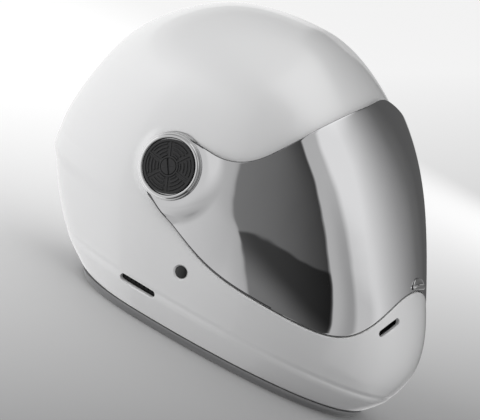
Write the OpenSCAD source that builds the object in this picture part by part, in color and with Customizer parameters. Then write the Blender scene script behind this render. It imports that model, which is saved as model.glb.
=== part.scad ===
// Full face helmet with a flip-up mirrored visor, open helmet on its flat base.
// Frame: Z up, front is -Y, wearer's left is +X, millimetres.

/* [Helmet] */
// overall length of the outer shell surface
helmet_length = 340; // [325:1:355]
// overall width of the outer shell surface
helmet_width = 241; // [232:1:250]
// height of the crown above the base
helmet_height = 252; // [244:1:262]
// wall thickness of the outer shell
shell_t = 3.2; // [2.6:0.1:4]
// depth of the ledge that the visor's lower edge sits in
recess_d = 4.2; // [3.6:0.1:5]
// how far the crease above the base stands proud
crease_h = 0.6; // [0.2:0.1:1.2]
// height of the lip at the back of the shell
tail_lip = 2.3; // [1:0.1:4]

/* [Visor] */
// thickness of the visor lens
lens_t = 2; // [1.6:0.1:2.4]
// how far the lens stands proud along its upper edge
lens_proud = 5.8; // [5.2:0.1:7]
// distance of the pivot behind the helmet's middle plane
pivot_y = 7; // [5:0.5:9]
// height of the pivot above the base
pivot_z = 118; // [116:0.5:120]
// outer radius of the bright hub ring
ring_r = 25.2; // [24.4:0.2:26]
// width of the bright rim round the dark disc
rim_w = 5; // [4.2:0.2:6]
// running gap between boss and hub ring
turn_gap = 0.4; // [0.3:0.05:0.6]

/* [Liner] */
// thickness of the crown foam
foam_t = 24; // [18:1:28]
// thickness of the chin bar foam
chin_foam_t = 15; // [10:1:18]
// thickness of the comfort pads
pad_t = 11; // [8:1:13]
// thickness of the cheek cushions
cheek_t = 24; // [18:1:28]
// seat gap between foam and shell
seat = 0.6; // [0.5:0.05:0.8]

/* [Strap] */
// width of the webbing
strap_w = 25; // [20:1:28]
// thickness of the webbing
strap_t = 2; // [1.4:0.1:2.2]
// wire radius of the two D rings
wire_r = 1.7; // [1.3:0.1:1.8]

/* [Hidden] */
$fn = 48;
sx = helmet_width / 241;
sy = helmet_length / 340;
sz = helmet_height / 252;
nexp = 2.2;

// ---- the helmet's form: cubic spline through stations ----
// each station: height, front, back, half width, where it is widest
stations = [
  [0, -166, 62, 93.5, -10],
  [8, -177, 84, 97, -10],
  [40, -199, 121, 107, -10],
  [80, -190, 147, 115, -5],
  [114, -168, 146, 118, 0],
  [148, -146, 138, 121, 0],
  [188, -117, 125, 118.5, 0],
  [229, -73, 89, 90.5, -2],
  [252, -25, 44, 40, -4],
  [252, -5, -5, 0, -5]];
ST = [for (s = stations) [s[0] * sz, s[1] * sy, s[2] * sy, s[3] * sx, s[4] * sy]];

function kn(K, i) = i < 4 ? 0 : i >= K ? 1 : (i - 3) / (K - 3);
function db(C, K, u, j, r) = r == 0 ? C[j] :
  let (a = (u - kn(K, j)) / (kn(K, j + 4 - r) - kn(K, j)))
  (1 - a) * db(C, K, u, j - 1, r - 1) + a * db(C, K, u, j, r - 1);
function spline(C, u) = let (K = len(C), k = min(K - 1, 3 + floor(u * (K - 3))))
  db(C, K, u, k, 3);
rows_n = 96;
RT = [for (i = [0:rows_n]) spline(ST, i / rows_n)];
ZU = [for (i = [0:rows_n]) [RT[i][0] + i * 1e-6, i / rows_n]];
function row(u) = let (s = min(max(u, 0), 1) * rows_n, i = min(floor(s), rows_n - 1),
  f = s - i) RT[i] * (1 - f) + RT[i + 1] * f;
function uz(z) = lookup(z, ZU);
function sg(v, p) = v < 0 ? -pow(-v, p) : pow(v, p);
function S(u, ph) = let (r = row(u), c = cos(ph), s = sin(ph), q = 2 / nexp)
  [r[3] * sg(s, q), c > 0 ? r[4] - (r[4] - r[1]) * pow(c, q)
    : r[4] + (r[2] - r[4]) * pow(-c, q), r[0]];
function unit(v) = v / max(norm(v), 1e-9);
function N(u, ph) = unit(cross(S(u, ph + 1) - S(u, ph - 1),
  S(min(u + 0.006, 1), ph) - S(u - 0.006, ph)));
function P(z, ph, off) = let (u = uz(z)) S(u, ph) + off * N(u, ph);
function PU(u, ph, off) = S(u, ph) + off * N(u, ph);
// the same at a kept height, moved level
function PH(z, ph, off) = let (u = uz(z), n = N(u, ph)) S(u, ph) + off * unit([n[0], n[1], 0]);
function ss(a) = let (t = min(max(a, 0), 1)) t * t * (3 - 2 * t);
// half width of the form at a given y and z
function half_at(y, z) = let (r = row(uz(z)),
  t = y < r[4] ? (r[4] - y) / (r[4] - r[1]) : (y - r[4]) / (r[2] - r[4]))
  r[3] * pow(1 - pow(t, nexp), 1 / nexp);

// ---- outlines on the form: [angle from the front, height] ----
lens_low = [[0, 111], [4, 111], [14, 106], [26, 86], [36, 66], [46, 58], [64, 60],
  [78, 63], [86, 79], [91.5, 93]];
lens_up = [[0, 223.5], [8, 223], [22, 217.2], [38, 208], [52, 193.2], [64, 171.5], [74, 147],
  [83, 140.5], [88, 143.2], [91.5, 143]];
port_low = [[0, 121], [10, 121], [24, 112], [40, 99], [58, 96], [71, 101], [75, 120]];
port_up = [[0, 190], [10, 190], [28, 185], [46, 172], [62, 152], [73, 138], [75, 126]];
function edge(C, v) = let (p = spline(C, min(abs(v), 1))) [v < 0 ? -p[0] : p[0], p[1] * sz];
// the same outline moved out by m mm, side = 1 up or -1 down
function wide(C, v, m, side) = let (a = abs(v), k = 2.2,
  p = spline(C, min(a, 1)), q0 = spline(C, max(min(a, 1) - 0.02, 0)),
  q1 = spline(C, min(a + 0.02, 1)), d = unit([(q1[0] - q0[0]) * k, q1[1] - q0[1]]),
  w = a < 0.02 ? [0, side] : [-d[1], d[0]] * side,
  ph = p[0] + m * w[0] / k) [v < 0 ? -ph : ph, (p[1] + m * w[1]) * sz];

// ---- visor and hub planes ----
disc_r = ring_r - rim_w;
boss_r = disc_r - 2.6;
screw_r = 0.66 * boss_r;
xp = half_at(pivot_y, pivot_z);
hub_x = xp + 4.6;
plate_x = hub_x - lens_t - 0.3;
floor_x = plate_x - 2;
lens_near = ring_r + 4;
lens_far = ring_r + 18.8;
function recess(z) = recess_d * ss((146 - z / sz) / 36);
LZ = [for (i = [0:24]) let (e = spline(lens_low, i / 24)) [e[0], e[1]]];
// the wall is stepped in under the visor
function step_in(ph, z) = let (a = abs(ph), b = a > 180 ? 360 - a : a, h = z / sz)
  ss((h - (lookup(b, LZ) - 13)) / 10) * ss((166 - h) / 36) * ss((116 - b) / 18);
function inner(ph, z) = shell_t + recess_d * step_in(ph, z);

// ---- mesh helpers ----
function quad(a, b, c, d) = [[a, b, c], [a, c, d]];
module solid(pts, faces) {
  vols = [for (f = faces) cross(pts[f[0]], pts[f[1]]) * pts[f[2]]];
  total = vols * [for (v = vols) 1];
  polyhedron(points = pts, faces = total < 0 ? faces : [for (f = faces) [f[2], f[1], f[0]]]);
}
// solid between two equal grids of points, open patch
module slab(O, I) {
  n = len(O); m = len(O[0]); k = n * m;
  pts = concat([for (r = O) each r], [for (r = I) each r]);
  faces = [for (i = [0:n - 2], j = [0:m - 2]) let (a = i * m + j, b = a + m)
      each concat(quad(a, b, b + 1, a + 1), quad(k + a, k + a + 1, k + b + 1, k + b))];
  ends = [for (j = [0:m - 2]) let (t = (n - 1) * m + j)
      each concat(quad(j, j + 1, k + j + 1, k + j), quad(t + 1, t, k + t, k + t + 1))];
  sides = [for (i = [0:n - 2]) let (a = i * m, b = a + m, c = a + m - 1, d = c + m)
      each concat(quad(b, a, k + a, k + b), quad(c, d, k + d, k + c))];
  solid(pts, concat(faces, ends, sides));
}
// closed bowl from rows of points that wrap round, bottom open edge joined
module bowl(O, I, top_o, top_i) {
  n = len(O); m = len(O[0]); k = n * m;
  pts = concat([for (r = O) each r], [for (r = I) each r], [top_o, top_i]);
  faces = [for (i = [0:n - 2], j = [0:m - 1])
      let (a = i * m + j, b = i * m + (j + 1) % m, c = a + m, d = b + m)
      each concat(quad(a, c, d, b), quad(k + a, k + b, k + d, k + c))];
  rim = [for (j = [0:m - 1]) let (a = j, b = (j + 1) % m) each quad(a, b, k + b, k + a)];
  tip = [for (j = [0:m - 1]) let (a = (n - 1) * m + j, b = (n - 1) * m + (j + 1) % m)
      each [[b, a, 2 * k], [k + a, k + b, 2 * k + 1]]];
  solid(pts, concat(faces, rim, tip));
}
// filled form with a flat bottom cap
module filled(O, top) {
  n = len(O); m = len(O[0]); k = n * m;
  z0 = O[0][0][2];
  pts = concat([for (r = O) each r], [top, [0, -20, z0]]);
  faces = [for (i = [0:n - 2], j = [0:m - 1])
      let (a = i * m + j, b = i * m + (j + 1) % m) each quad(a, a + m, b + m, b)];
  tip = [for (j = [0:m - 1]) let (a = (n - 1) * m + j, b = (n - 1) * m + (j + 1) % m)
      [b, a, k]];
  base = [for (j = [0:m - 1]) [j, (j + 1) % m, k + 1]];
  solid(pts, concat(faces, tip, base));
}
// closed section swept round: rows are stations, each a loop of points
module loop(R) {
  n = len(R); m = len(R[0]);
  faces = [for (i = [0:n - 1], j = [0:m - 1])
      let (a = i * m + j, b = i * m + (j + 1) % m, c = ((i + 1) % n) * m + j,
        d = ((i + 1) % n) * m + (j + 1) % m) each quad(a, b, d, c)];
  solid([for (r = R) each r], faces);
}
// section swept along an open run with flat ends
module run(R) {
  n = len(R); m = len(R[0]);
  faces = [for (i = [0:n - 2], j = [0:m - 1])
      let (a = i * m + j, b = i * m + (j + 1) % m) each quad(a, b, b + m, a + m)];
  caps = [for (j = [1:m - 2]) each [[0, j + 1, j],
      [(n - 1) * m, (n - 1) * m + j, (n - 1) * m + j + 1]]];
  solid([for (r = R) each r], concat(faces, caps));
}
// patch of the form between two outlines, from offset a to offset b
module region(lo, up, ml, a, b, cols, rows) {
  V = [for (i = [0:cols]) -1 + 2 * i / cols];
  T = [for (i = [0:rows]) i / rows];
  function at(v, t, o) = let (e = (1 - t) * wide(lo, v, ml, -1) + t * wide(up, v, ml, 1))
    P(e[1], e[0], o);
  slab([for (t = T) [for (v = V) at(v, t, b)]], [for (t = T) [for (v = V) at(v, t, a)]]);
}
module mirror_if(left) { if (left) children(); else mirror([1, 0, 0]) children(); }
// children drawn along +Z are laid along +X at the pivot
module at_pivot(x) { translate([x, pivot_y, pivot_z]) rotate([0, 90, 0]) children(); }
module slot(ph, z, len, wid, tilt, a, b) {
  p = P(z, ph, a); q = P(z, ph, b);
  d = unit(q - p);
  e = unit(P(z, ph + 1, 0) - P(z, ph - 1, 0));
  f = cross(d, e);
  t = e * cos(tilt) + f * sin(tilt);
  hull() for (s = [-1, 1]) translate(p + t * s * (len - wid) / 2)
    multmatrix([[e[0], f[0], d[0], 0], [e[1], f[1], d[1], 0], [e[2], f[2], d[2], 0]])
      cylinder(r = wid / 2, h = norm(q - p), $fn = 12);
}

// ---- shell ----
zs_out = [6.5, 13, 19, 24, 30, 42, 56, 70, 79, 86, 97, 109, 122, 136, 150, 164, 178,
  192, 205, 217, 228, 237];
us_top = [0.25, 0.5, 0.75];
us_out = concat([for (z = zs_out) uz(z * sz)],
  [for (t = us_top) uz(237 * sz) * (1 - t) + 0.995 * t]);
function crease(z) = z < 24 ? crease_h * (1 - (24 - z) * 0.2) : crease_h * max(0, 1 - (z - 24) / 9);
function lip(z, ph) = tail_lip * pow(max(0, -cos(ph)), 2.5)
  * (z < 79 ? 1.35 * ss((z - 68) / 11) - 0.35 * ss((z - 30) / 25) : max(0, (92 - z) / 13));
function outer_off(u, ph) = let (z = row(u)[0] / sz) crease(z) + lip(z, ph);
crown_o = S(1, 0);
ph_in = [for (j = [0:39]) j * 9];
zs_in = [3, 16, 30, 44, 58, 72, 86, 100, 114, 128, 144, 160, 176, 192, 208, 222, 234];
rivet_z = 51;
rivet_ph = 84;
vent_z = 83;
vent_ph = 20.5;
vent_tilt = -42;
side_z = 24.5;
side_ph = 92.5;
module form_outer() {
  phs = [for (j = [0:47]) j * 7.5];
  filled([for (u = us_out) [for (p = phs) PU(u, p, outer_off(u, p))]], crown_o);
}
module form_inner() {
  us = concat([for (z = zs_in) uz(z * sz)], [uz(242 * sz), 0.93, 0.97]);
  filled([for (u = us) [for (p = ph_in) let (z = row(u)[0]) PU(u, p, -inner(p, z))]],
    crown_o - [0, 0, shell_t]);
}
module outer_shell() color("white") render() difference() {
  union() {
    difference() {
      form_outer();
      form_inner();
    }
    for (s = [false, true]) mirror_if(s) at_pivot(floor_x - 8) cylinder(r = ring_r + 0.8, h = 8);
  }
  region(port_low, port_up, 0, -22, 16, 32, 8);
  recess_cut();
  for (s = [false, true]) mirror_if(s) {
    at_pivot(floor_x) cylinder(r = ring_r + 1.2, h = 30);
    for (d = [-1, 1]) translate([0, d * screw_r, 0]) at_pivot(floor_x - 7) cylinder(r = 1.2, h = 9, $fn = 16);
    on_rivet(-12) cylinder(r = 3, h = 20);
    on_rivet(-1.8) cylinder(r = 5.4, h = 8);
    on_rivet(-0.7) cylinder(r1 = 5.4, r2 = 7.6, h = 2.2);
    slot(side_ph, side_z * sz, 32, 6, 0, -14, 5);
    slot(side_ph, side_z * sz, 34, 8, 0, -0.8, 5);
    slot(vent_ph, vent_z * sz, 23, 5, vent_tilt, -16, 5);
    slot(vent_ph, vent_z * sz, 25, 7, vent_tilt, -0.8, 5);
  }
}
module recess_cut() {
  V = [for (i = [0:48]) -1 + i / 24];
  T = [for (i = [0:8]) i / 8];
  function e(v, t) = (1 - t) * wide(lens_low, v, 1.1, -1) + t * edge(lens_up, v);
  slab([for (t = T) [for (v = V) let (q = e(v, t)) P(q[1], q[0], 14)]],
    [for (t = T) [for (v = V) let (q = e(v, t)) P(q[1], q[0], 0.02 - recess(q[1]))]]);
}

// ---- base trim and gasket ----
module edge_trim() color("dimgray") {
  phs = [for (j = [0:47]) j * 7.5];
  o = -crease_h * 2.5;
  loop([for (p = phs) let (u = PU(us_out[0], p, outer_off(us_out[0], p)),
      n = N(us_out[0], p), h = unit([n[0], n[1], 0])) [[u[0], u[1], 0] - h * 4.4,
    [u[0], u[1], 2.6] - h * 1.7, u - h * 0.2 - [0, 0, 0.4],
    u - h * (shell_t * 1.3 + 0.6) - [0, 0, 0.4], u - h * (shell_t * 1.3 + 1) + [0, 0, 5],
    u - h * (shell_t * 1.3 + 3.4) + [0, 0, 5], u - h * (shell_t * 1.3 + 4.4) - [0, 0, u[2] - 2],
    [u[0], u[1], 0] - h * (shell_t * 1.3 + 3)]]);
}
module port_gasket() color("black") {
  n = 32;
  path = concat([for (i = [0:n - 1]) wide(port_low, -1 + 2 * i / n, -0.6, -1)],
    [for (i = [0:n - 1]) wide(port_up, 1 - 2 * i / n, -0.6, 1)]);
  path_in = concat([for (i = [0:n - 1]) wide(port_low, -1 + 2 * i / n, -3.2, -1)],
    [for (i = [0:n - 1]) wide(port_up, 1 - 2 * i / n, -3.2, 1)]);
  loop([for (i = [0:2 * n - 1]) let (a = path[i], b = path_in[i], r = recess(a[1]))
    [P(a[1], a[0], -r - 0.4), P(b[1], b[0], -r - 1.4), P(b[1], b[0], -r - 3.6),
      P(a[1], a[0], -r - shell_t - 0.2)]]);
}

// ---- foam ----
foam_low = [[0, 193], [20, 190], [40, 181], [60, 162], [72, 143], [82, 128],
  [100, 114], [130, 84], [180, 50]];
function foam_edge(ph) = let (a = ph > 180 ? 360 - ph : ph) lookup(a, foam_low) * sz;
function foam_u(p, t) = uz(foam_edge(p)) * (1 - t) + 0.97 * t;
foam_rows = [0, 0.12, 0.26, 0.4, 0.54, 0.68, 0.8, 0.9, 0.975];
module crown_foam() color("gray") render() difference() {
  bowl([for (t = foam_rows) [for (p = ph_in) let (u = foam_u(p, t))
      PU(u, p, -inner(p, row(u)[0]) - seat - 0.6)]],
    [for (t = foam_rows) [for (p = ph_in) PU(foam_u(p, t), p, -shell_t - foam_t)]],
    crown_o - [0, 0, shell_t + seat + 0.6], crown_o - [0, 0, shell_t + foam_t]);
  for (s = [false, true]) mirror_if(s) at_pivot(floor_x - 8.5) cylinder(r = ring_r + 1.8, h = 30);
  for (a = [-60, -36, -12, 12, 36, 60]) hull() for (k = [0, 1])
    translate([34 * sin(a) * 1.6, 10 + k * 34, helmet_height - 30 - 6 - abs(a) * 0.25])
      sphere(r = 5, $fn = 8);
  for (a = [-1, 1]) hull() for (k = [0, 1])
    translate([a * 20, -30 - k * 30, helmet_height - 40 - k * 8]) sphere(r = 5, $fn = 8);
}
module patch(p0, p1, z0, z1, nz, np, fo, fi) {
  slab([for (i = [0:nz]) [for (j = [0:np]) let (z = (z0 + (z1 - z0) * i / nz) * sz,
      p = p0 + (p1 - p0) * j / np) P(z, p, fo(p, z, i / nz, j / np))]],
    [for (i = [0:nz]) [for (j = [0:np]) let (z = (z0 + (z1 - z0) * i / nz) * sz,
      p = p0 + (p1 - p0) * j / np) P(z, p, fi(p, z, i / nz, j / np))]]);
}
PL = [for (i = [0:24]) let (e = spline(port_low, i / 24)) [e[0], e[1]]];
function chin_z(p, t) = (17 + (lookup(abs(p), PL) - 2 - 17) * t) * sz;
module chin_foam() color("gray") difference() {
  V = [for (i = [0:20]) -58 + 5.8 * i];
  T = [0, 0.3, 0.6, 0.85, 1];
  slab([for (t = T) [for (p = V) let (z = chin_z(p, t)) P(z, p, -inner(p, z) - seat - 1.7)]],
    [for (t = T) [for (p = V) let (z = chin_z(p, t)) P(z, p, -inner(p, z) - chin_foam_t)]]);
  for (s = [false, true]) mirror_if(s) slot(vent_ph, vent_z * sz, 33, 13, vent_tilt, -34, -1);
}
// top of the cheek parts, kept below the crown foam
function cheek_top(p, low) = min(110 * sz, foam_edge(p) - 2.5) - low;
module cheek_foam(left) color("gray") mirror_if(left) difference() {
  V = [for (i = [0:9]) 61 + 67 * i / 9];
  T = [for (i = [0:8]) i / 8];
  slab([for (t = T) [for (p = V) let (z = 17 * sz * (1 - t) + cheek_top(p, 0) * t)
      P(z, p, -inner(p, z) - seat - 2.1)]],
    [for (t = T) [for (p = V) P(17 * sz * (1 - t) + cheek_top(p, 0) * t, p, -21.5)]]);
  translate([60, strap_y - strap_w / 2 - 1.5, 0]) cube([80, strap_w + 3, rivet_z * sz + 16]);
  slot(side_ph, side_z * sz, 40, 14, 0, -40, 4);
  at_pivot(floor_x - 8.5) cylinder(r = ring_r + 1.8, h = 30);
}

// ---- soft pads ----
function puff(a, b, k) = pow(max(0, 1 - pow(abs(2 * a - 1), k)), 0.7)
  * pow(max(0, 1 - pow(abs(2 * b - 1), k)), 0.7);
module cushion(p0, p1, z0, z1, nz, np, base, thick, k = 4, seam = 0, lip_t = 3) {
  patch(p0, p1, z0, z1, nz, np,
    function (p, z, a, b) -base - 0.8 * (1 - puff(a, b, 6)),
    function (p, z, a, b) -base - lip_t - (thick - lip_t) * puff(a, b, k)
      * (1 - seam * exp(-pow((b - 0.5) / 0.05, 2))));
}
pad_base = shell_t + foam_t + 1.4;
function pad_u(t) = uz(226 * sz) * (1 - t) + 0.97 * t;
module crown_pad() color("black") {
  tt = [0, 0.14, 0.3, 0.5, 0.7, 0.88];
  phs = [for (j = [0:23]) j * 15];
  bowl([for (t = tt) [for (p = phs) PU(pad_u(t), p, -pad_base - (t == 0 ? 1 : 0))]],
    [for (t = tt) [for (p = phs) PU(pad_u(t), p, -pad_base - 2.5 - (pad_t - 2.5)
      * ss(t * 2.2) * (1 - 0.3 * ss((0.8 - t) * 3) * pow(abs(cos(3 * p)), 14)))]],
    crown_o - [0, 0, pad_base], crown_o - [0, 0, pad_base + pad_t]);
}
module brow_pad() color("black") cushion(-52, 52, 196, 221, 5, 14, pad_base - 0.3, pad_t);
module rear_pad() color("black") cushion(138, 222, 84, 150, 8, 14, pad_base, pad_t, 4, 0.5);
module temple_pad(left) color("black") mirror_if(left)
  cushion(80, 128, 150, 206, 8, 9, pad_base, pad_t);
function cheek_pt(a, b, o) = let (p = 64 + 62 * b,
  z = 19 * sz * (1 - a) + cheek_top(p, 2) * a) P(z, p, o);
T10 = [for (i = [0:10]) i / 10];
module cheek_pad(left) color("black") mirror_if(left)
  slab([for (a = T10) [for (b = T10) cheek_pt(a, b, -22.6 - 0.8 * (1 - puff(a, b, 6)))]],
    [for (a = T10) [for (b = T10) cheek_pt(a, b, -27.6 - (cheek_t - 5) * puff(a, b, 4)
      * (1 - 0.28 * exp(-pow((b - 0.5) / 0.05, 2))))]]);
function roll_at(p, e) = let (a = PU(us_out[0], p, outer_off(us_out[0], p)),
  n = N(us_out[0], p), h = unit([n[0], n[1], 0]),
  c = [a[0], a[1], 17 * sz] - h * (shell_t * 1.3 + 12.5))
  [for (k = [0:9]) let (a = k * 36, r = 9.4 * e) c + h * r * cos(a) + [0, 0, r * 1.2 * sin(a)]];
module neck_roll() color("black") {
  n = 22;
  run([for (j = [0:n]) let (b = abs(2 * j / n - 1), e = 0.55 + 0.45 * pow(1 - pow(b, 6), 0.6))
    roll_at(133 + 94 * j / n, e)]);
}

// ---- visor ----
function lens_pt(v, t, inner_side) = let (
  e = (1 - t) * edge(lens_low, v) + t * edge(lens_up, v),
  w = 1 - ss((abs(e[0]) - 6) / 30),
  o = 0.2 + (lens_proud - 0.2) * (1 - pow(1 - t, 2.6)) * (1 - 0.28 * w),
  p = P(e[1], e[0], o - (inner_side ? lens_t : 0)),
  d = norm([p[1] - pivot_y, p[2] - pivot_z]),
  m = ss((lens_far - d) / (lens_far - lens_near)), h = hub_x - (inner_side ? lens_t : 0))
  [p[0] * (1 - m) + (v < 0 ? -h : h) * m, p[1], p[2]];
module visor_lens() color("silver") render() {
  V = [for (i = [0:48]) let (a = -1 + i / 24) sign(a) * pow(abs(a), 0.9)];
  T = [0, 0.08, 0.18, 0.3, 0.44, 0.58, 0.72, 0.86, 1];
  difference() {
    slab([for (t = T) [for (v = V) lens_pt(v, t, false)]],
      [for (t = T) [for (v = V) lens_pt(v, t, true)]]);
    for (s = [false, true]) mirror_if(s) at_pivot(hub_x - 9) hull() cylinder(r = ring_r - 1.5, h = 18);
  }
  for (s = [false, true]) mirror_if(s) at_pivot(hub_x - lens_t) difference() {
    hull() cylinder(r = ring_r, h = lens_t);
    translate([0, 0, -1]) hull() cylinder(r = boss_r + turn_gap + 1.9, h = lens_t + 2);
  }
  // pins inside the lens for an anti-fog sheet
  for (v = [-0.74, 0.74]) hull() for (k = [0, 1]) let (a = lens_pt(v, 0.5, true),
    n = N(uz(a[2]), edge(lens_low, v)[0]))
    translate(a - n * (1.1 * k - 0.8)) sphere(r = 1.6, $fn = 8);
}
module visor_tab() color("black") {
  a = lens_pt(0, 0, false); b = lens_pt(0, 0.08, false);
  d = unit(b - a); n = [0, -d[2], d[1]]; o = a + d * 1.4 + n * 0.05;
  multmatrix([[1, 0, 0, o[0]], [0, d[1], n[1], o[1]], [0, d[2], n[2], o[2]]]) {
    linear_extrude(1.2) translate([-9, 0]) square([18, 6]);
    translate([-8, 1.6, 1.2]) cube([16, 2, 1.4]);
  }
}
module hub_ring(left) color("lightgray") mirror_if(left) at_pivot(hub_x) {
  rs = boss_r + turn_gap;
  rotate_extrude() polygon([[rs, -lens_t - 0.1], [rs + 1.7, -lens_t - 0.1], [rs + 1.7, 0.15],
    [ring_r, 0.15], [ring_r, 1.2], [ring_r - 1.4, 2.6], [disc_r + 1.2, 2.6],
    [disc_r + 0.5, 1.9], [disc_r + 0.5, 0.3], [rs, 0.3]]);
}

// ---- pivot hardware ----
module base_plate(left) color("dimgray") mirror_if(left) at_pivot(floor_x) difference() {
  union() {
    cylinder(r = ring_r - 1.8, h = 2);
    cylinder(r = boss_r, h = hub_x + 0.5 - floor_x);
  }
  translate([0, 0, -1]) cylinder(r = 3.2, h = 20);
  for (d = [-1, 1]) translate([0, d * screw_r, -1]) {
    cylinder(r = 1.7, h = 20);
    translate([0, 0, hub_x - floor_x - 0.7]) cylinder(r1 = 1.7, r2 = 3.9, h = 2.3);
  }
  translate([0, 0, 0.9]) rotate([0, 0, 150]) rotate_extrude(angle = 60)
    translate([ring_r - 6, 0]) square([3.4, 2]);
}
module click_spring(left) color("silver") mirror_if(left) at_pivot(floor_x) rotate([0, 0, 152]) {
  rotate_extrude(angle = 56) translate([ring_r - 5.7, 0.92]) square([2.8, 0.5]);
  rotate([0, 0, 28]) translate([ring_r - 4.3, 0, 1.3]) cylinder(r = 1, h = 0.7);
}
module plate_screw(left, d) color("silver") mirror_if(left) translate([0, d * screw_r, 0])
  at_pivot(floor_x - 6) difference() {
    union() {
      cylinder(r = 1.1, h = 6.6);
      translate([0, 0, 6.3]) cylinder(r = 1.4, h = hub_x - floor_x - 1.2);
      translate([0, 0, hub_x - floor_x + 4.9]) cylinder(r1 = 1.4, r2 = 3, h = 1.5);
    }
    translate([0, 0, hub_x - floor_x + 5.6]) cylinder(r = 1.3, h = 3, $fn = 6);
  }
module cover_disc(left) color([0.2, 0.2, 0.2]) mirror_if(left) at_pivot(hub_x + 0.52) difference() {
  union() {
    cylinder(r = disc_r, h = 1.9);
    cylinder(r1 = disc_r, r2 = disc_r - 0.9, h = 2.9);
  }
  for (r = disc_r * [0.423, 0.568, 0.712, 0.856]) translate([0, 0, 2.3]) difference() {
    cylinder(r = r + 0.5, h = 2);
    translate([0, 0, -1]) cylinder(r = r - 0.5, h = 4);
  }
  for (a = [0:45:315]) rotate([0, 0, a + 22.5]) translate([0.36 * disc_r, -0.5, 2.3]) cube([0.586 * disc_r, 1, 2]);
  translate([0, 0, -1]) cylinder(r = 3.2, h = 6);
  translate([0, 0, 0.9]) cylinder(r = 6.4, h = 6);
}
module lock_screw(left) color("dimgray") mirror_if(left) at_pivot(hub_x + 1.5) difference() {
  union() {
    cylinder(r = 6, h = 2.3);
    translate([0, 0, floor_x + 0.2 - hub_x - 1.5]) cylinder(r = 2.8, h = hub_x + 2 - floor_x);
  }
  translate([-5, -0.8, 1.1]) cube([10, 1.6, 2]);
}

// ---- strap ----
rivet_p = P(rivet_z * sz, rivet_ph, 0);
rivet_n = N(uz(rivet_z * sz), rivet_ph);
strap_y = rivet_p[1];
module on_rivet(off) {
  a = acos(rivet_n[2]); b = atan2(rivet_n[1], rivet_n[0]);
  translate(rivet_p + rivet_n * off) rotate([0, a, b]) children();
}
module strap_rivet(left) color([0.15, 0.15, 0.15]) mirror_if(left) on_rivet(0) {
  translate([0, 0, -1.75]) cylinder(r = 5.2, h = 1.35);
  translate([0, 0, -0.4]) cylinder(r1 = 5.2, r2 = 4, h = 0.6);
  translate([0, 0, -shell_t - 5.4]) cylinder(r = 2.8, h = shell_t + 5.6);
}
module anchor_plate(left) color("silver") mirror_if(left) on_rivet(-shell_t - 2.6) difference() {
  cylinder(r = 8.5, h = 1.4);
  translate([0, 0, -1]) cylinder(r = 3, h = 4);
}
// the webbing runs in the plane y = const: points of its middle line
sa = rivet_p + rivet_n * (-shell_t - 4.3);
st0 = [-rivet_n[2], rivet_n[0]];
bend = [84, 12];
function side_pts(Q, h) = [for (i = [0:len(Q) - 1]) let (
  a = unit(Q[min(i + 1, len(Q) - 1)] - Q[max(i - 1, 0)])) Q[i] + h * [-a[1], a[0]]];
module webbing(Q) translate([0, strap_y + strap_w / 2, 0]) rotate([90, 0, 0])
  linear_extrude(strap_w) polygon(concat(side_pts(Q, strap_t / 2),
    [for (i = [len(Q) - 1:-1:0]) side_pts(Q, -strap_t / 2)[i]]));
loop_z = 8.4;
function web_path(xe) = let (p = [sa[0], sa[2]], q = p - st0 * 20)
  concat([p + st0 * 9, p, q], [for (t = [0.25, 0.5, 0.75, 0.9])
    (1 - t) * (1 - t) * q + 2 * t * (1 - t) * [86, 6] * 1 + t * t * [62, loop_z]],
    [[58, loop_z], [xe, loop_z]]);
module strap_hole(left) mirror_if(left) on_rivet(-shell_t - 8) cylinder(r = 3.1, h = 10);
module chin_strap_left() color([0.12, 0.12, 0.12]) difference() {
  webbing(web_path(14));
  strap_hole(true);
}
bar_x = 15;
module chin_strap_right() color([0.12, 0.12, 0.12]) mirror([1, 0, 0]) {
  difference() {
    webbing(web_path(bar_x + 5));
    strap_hole(true);
  }
  translate([bar_x, strap_y + strap_w / 2, loop_z]) rotate([90, 0, 0])
    linear_extrude(strap_w) difference() {
      circle(r = 4.1 + strap_t);
      circle(r = 4.1);
    }
}
module d_ring(dz) color("silver") translate([-bar_x, strap_y, loop_z + dz]) {
  w = strap_w / 2 + 3;
  translate([0, -w, 0]) rotate([-90, 0, 0]) cylinder(r = wire_r, h = 2 * w);
  for (s = [-1, 1]) translate([0, s * w, 0]) {
    sphere(r = wire_r);
    rotate([0, 90, 0]) cylinder(r = wire_r, h = 5);
  }
  translate([5, 0, 0]) rotate([0, 0, -90]) rotate_extrude(angle = 180)
    translate([w, 0]) circle(r = wire_r);
}

// ---- vents ----
module mesh_at(ph, z, len, tilt, deep) {
  p = P(z, ph, -deep);
  d = N(uz(z), ph);
  e = unit(P(z, ph + 1, 0) - P(z, ph - 1, 0));
  f = cross(d, e);
  multmatrix([[e[0], f[0], d[0], p[0]], [e[1], f[1], d[1], p[1]], [e[2], f[2], d[2], p[2]]])
    rotate([0, 0, tilt]) difference() {
      cube([len + 7, 9, 1], center = true);
      for (i = [0:6]) translate([(i - 3) * (len / 7), 0, 0]) cylinder(r = 1.1, h = 4, center = true);
    }
}
module vent_mesh(left) color("black") mirror_if(left)
  mesh_at(vent_ph, vent_z * sz, 20, vent_tilt, shell_t + recess_d + 1.8);
module side_mesh(left) color("black") mirror_if(left)
  mesh_at(side_ph, side_z * sz, 28, 0, inner(side_ph, side_z * sz) + 2);

// the origin is under the middle of the helmet's box
mid_y = (min([for (r = RT) r[1]]) + max([for (r = RT) r[2] + lip(r[0] / sz, 180)])) / 2;
module place() translate([0, -mid_y, 0]) children();

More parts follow.
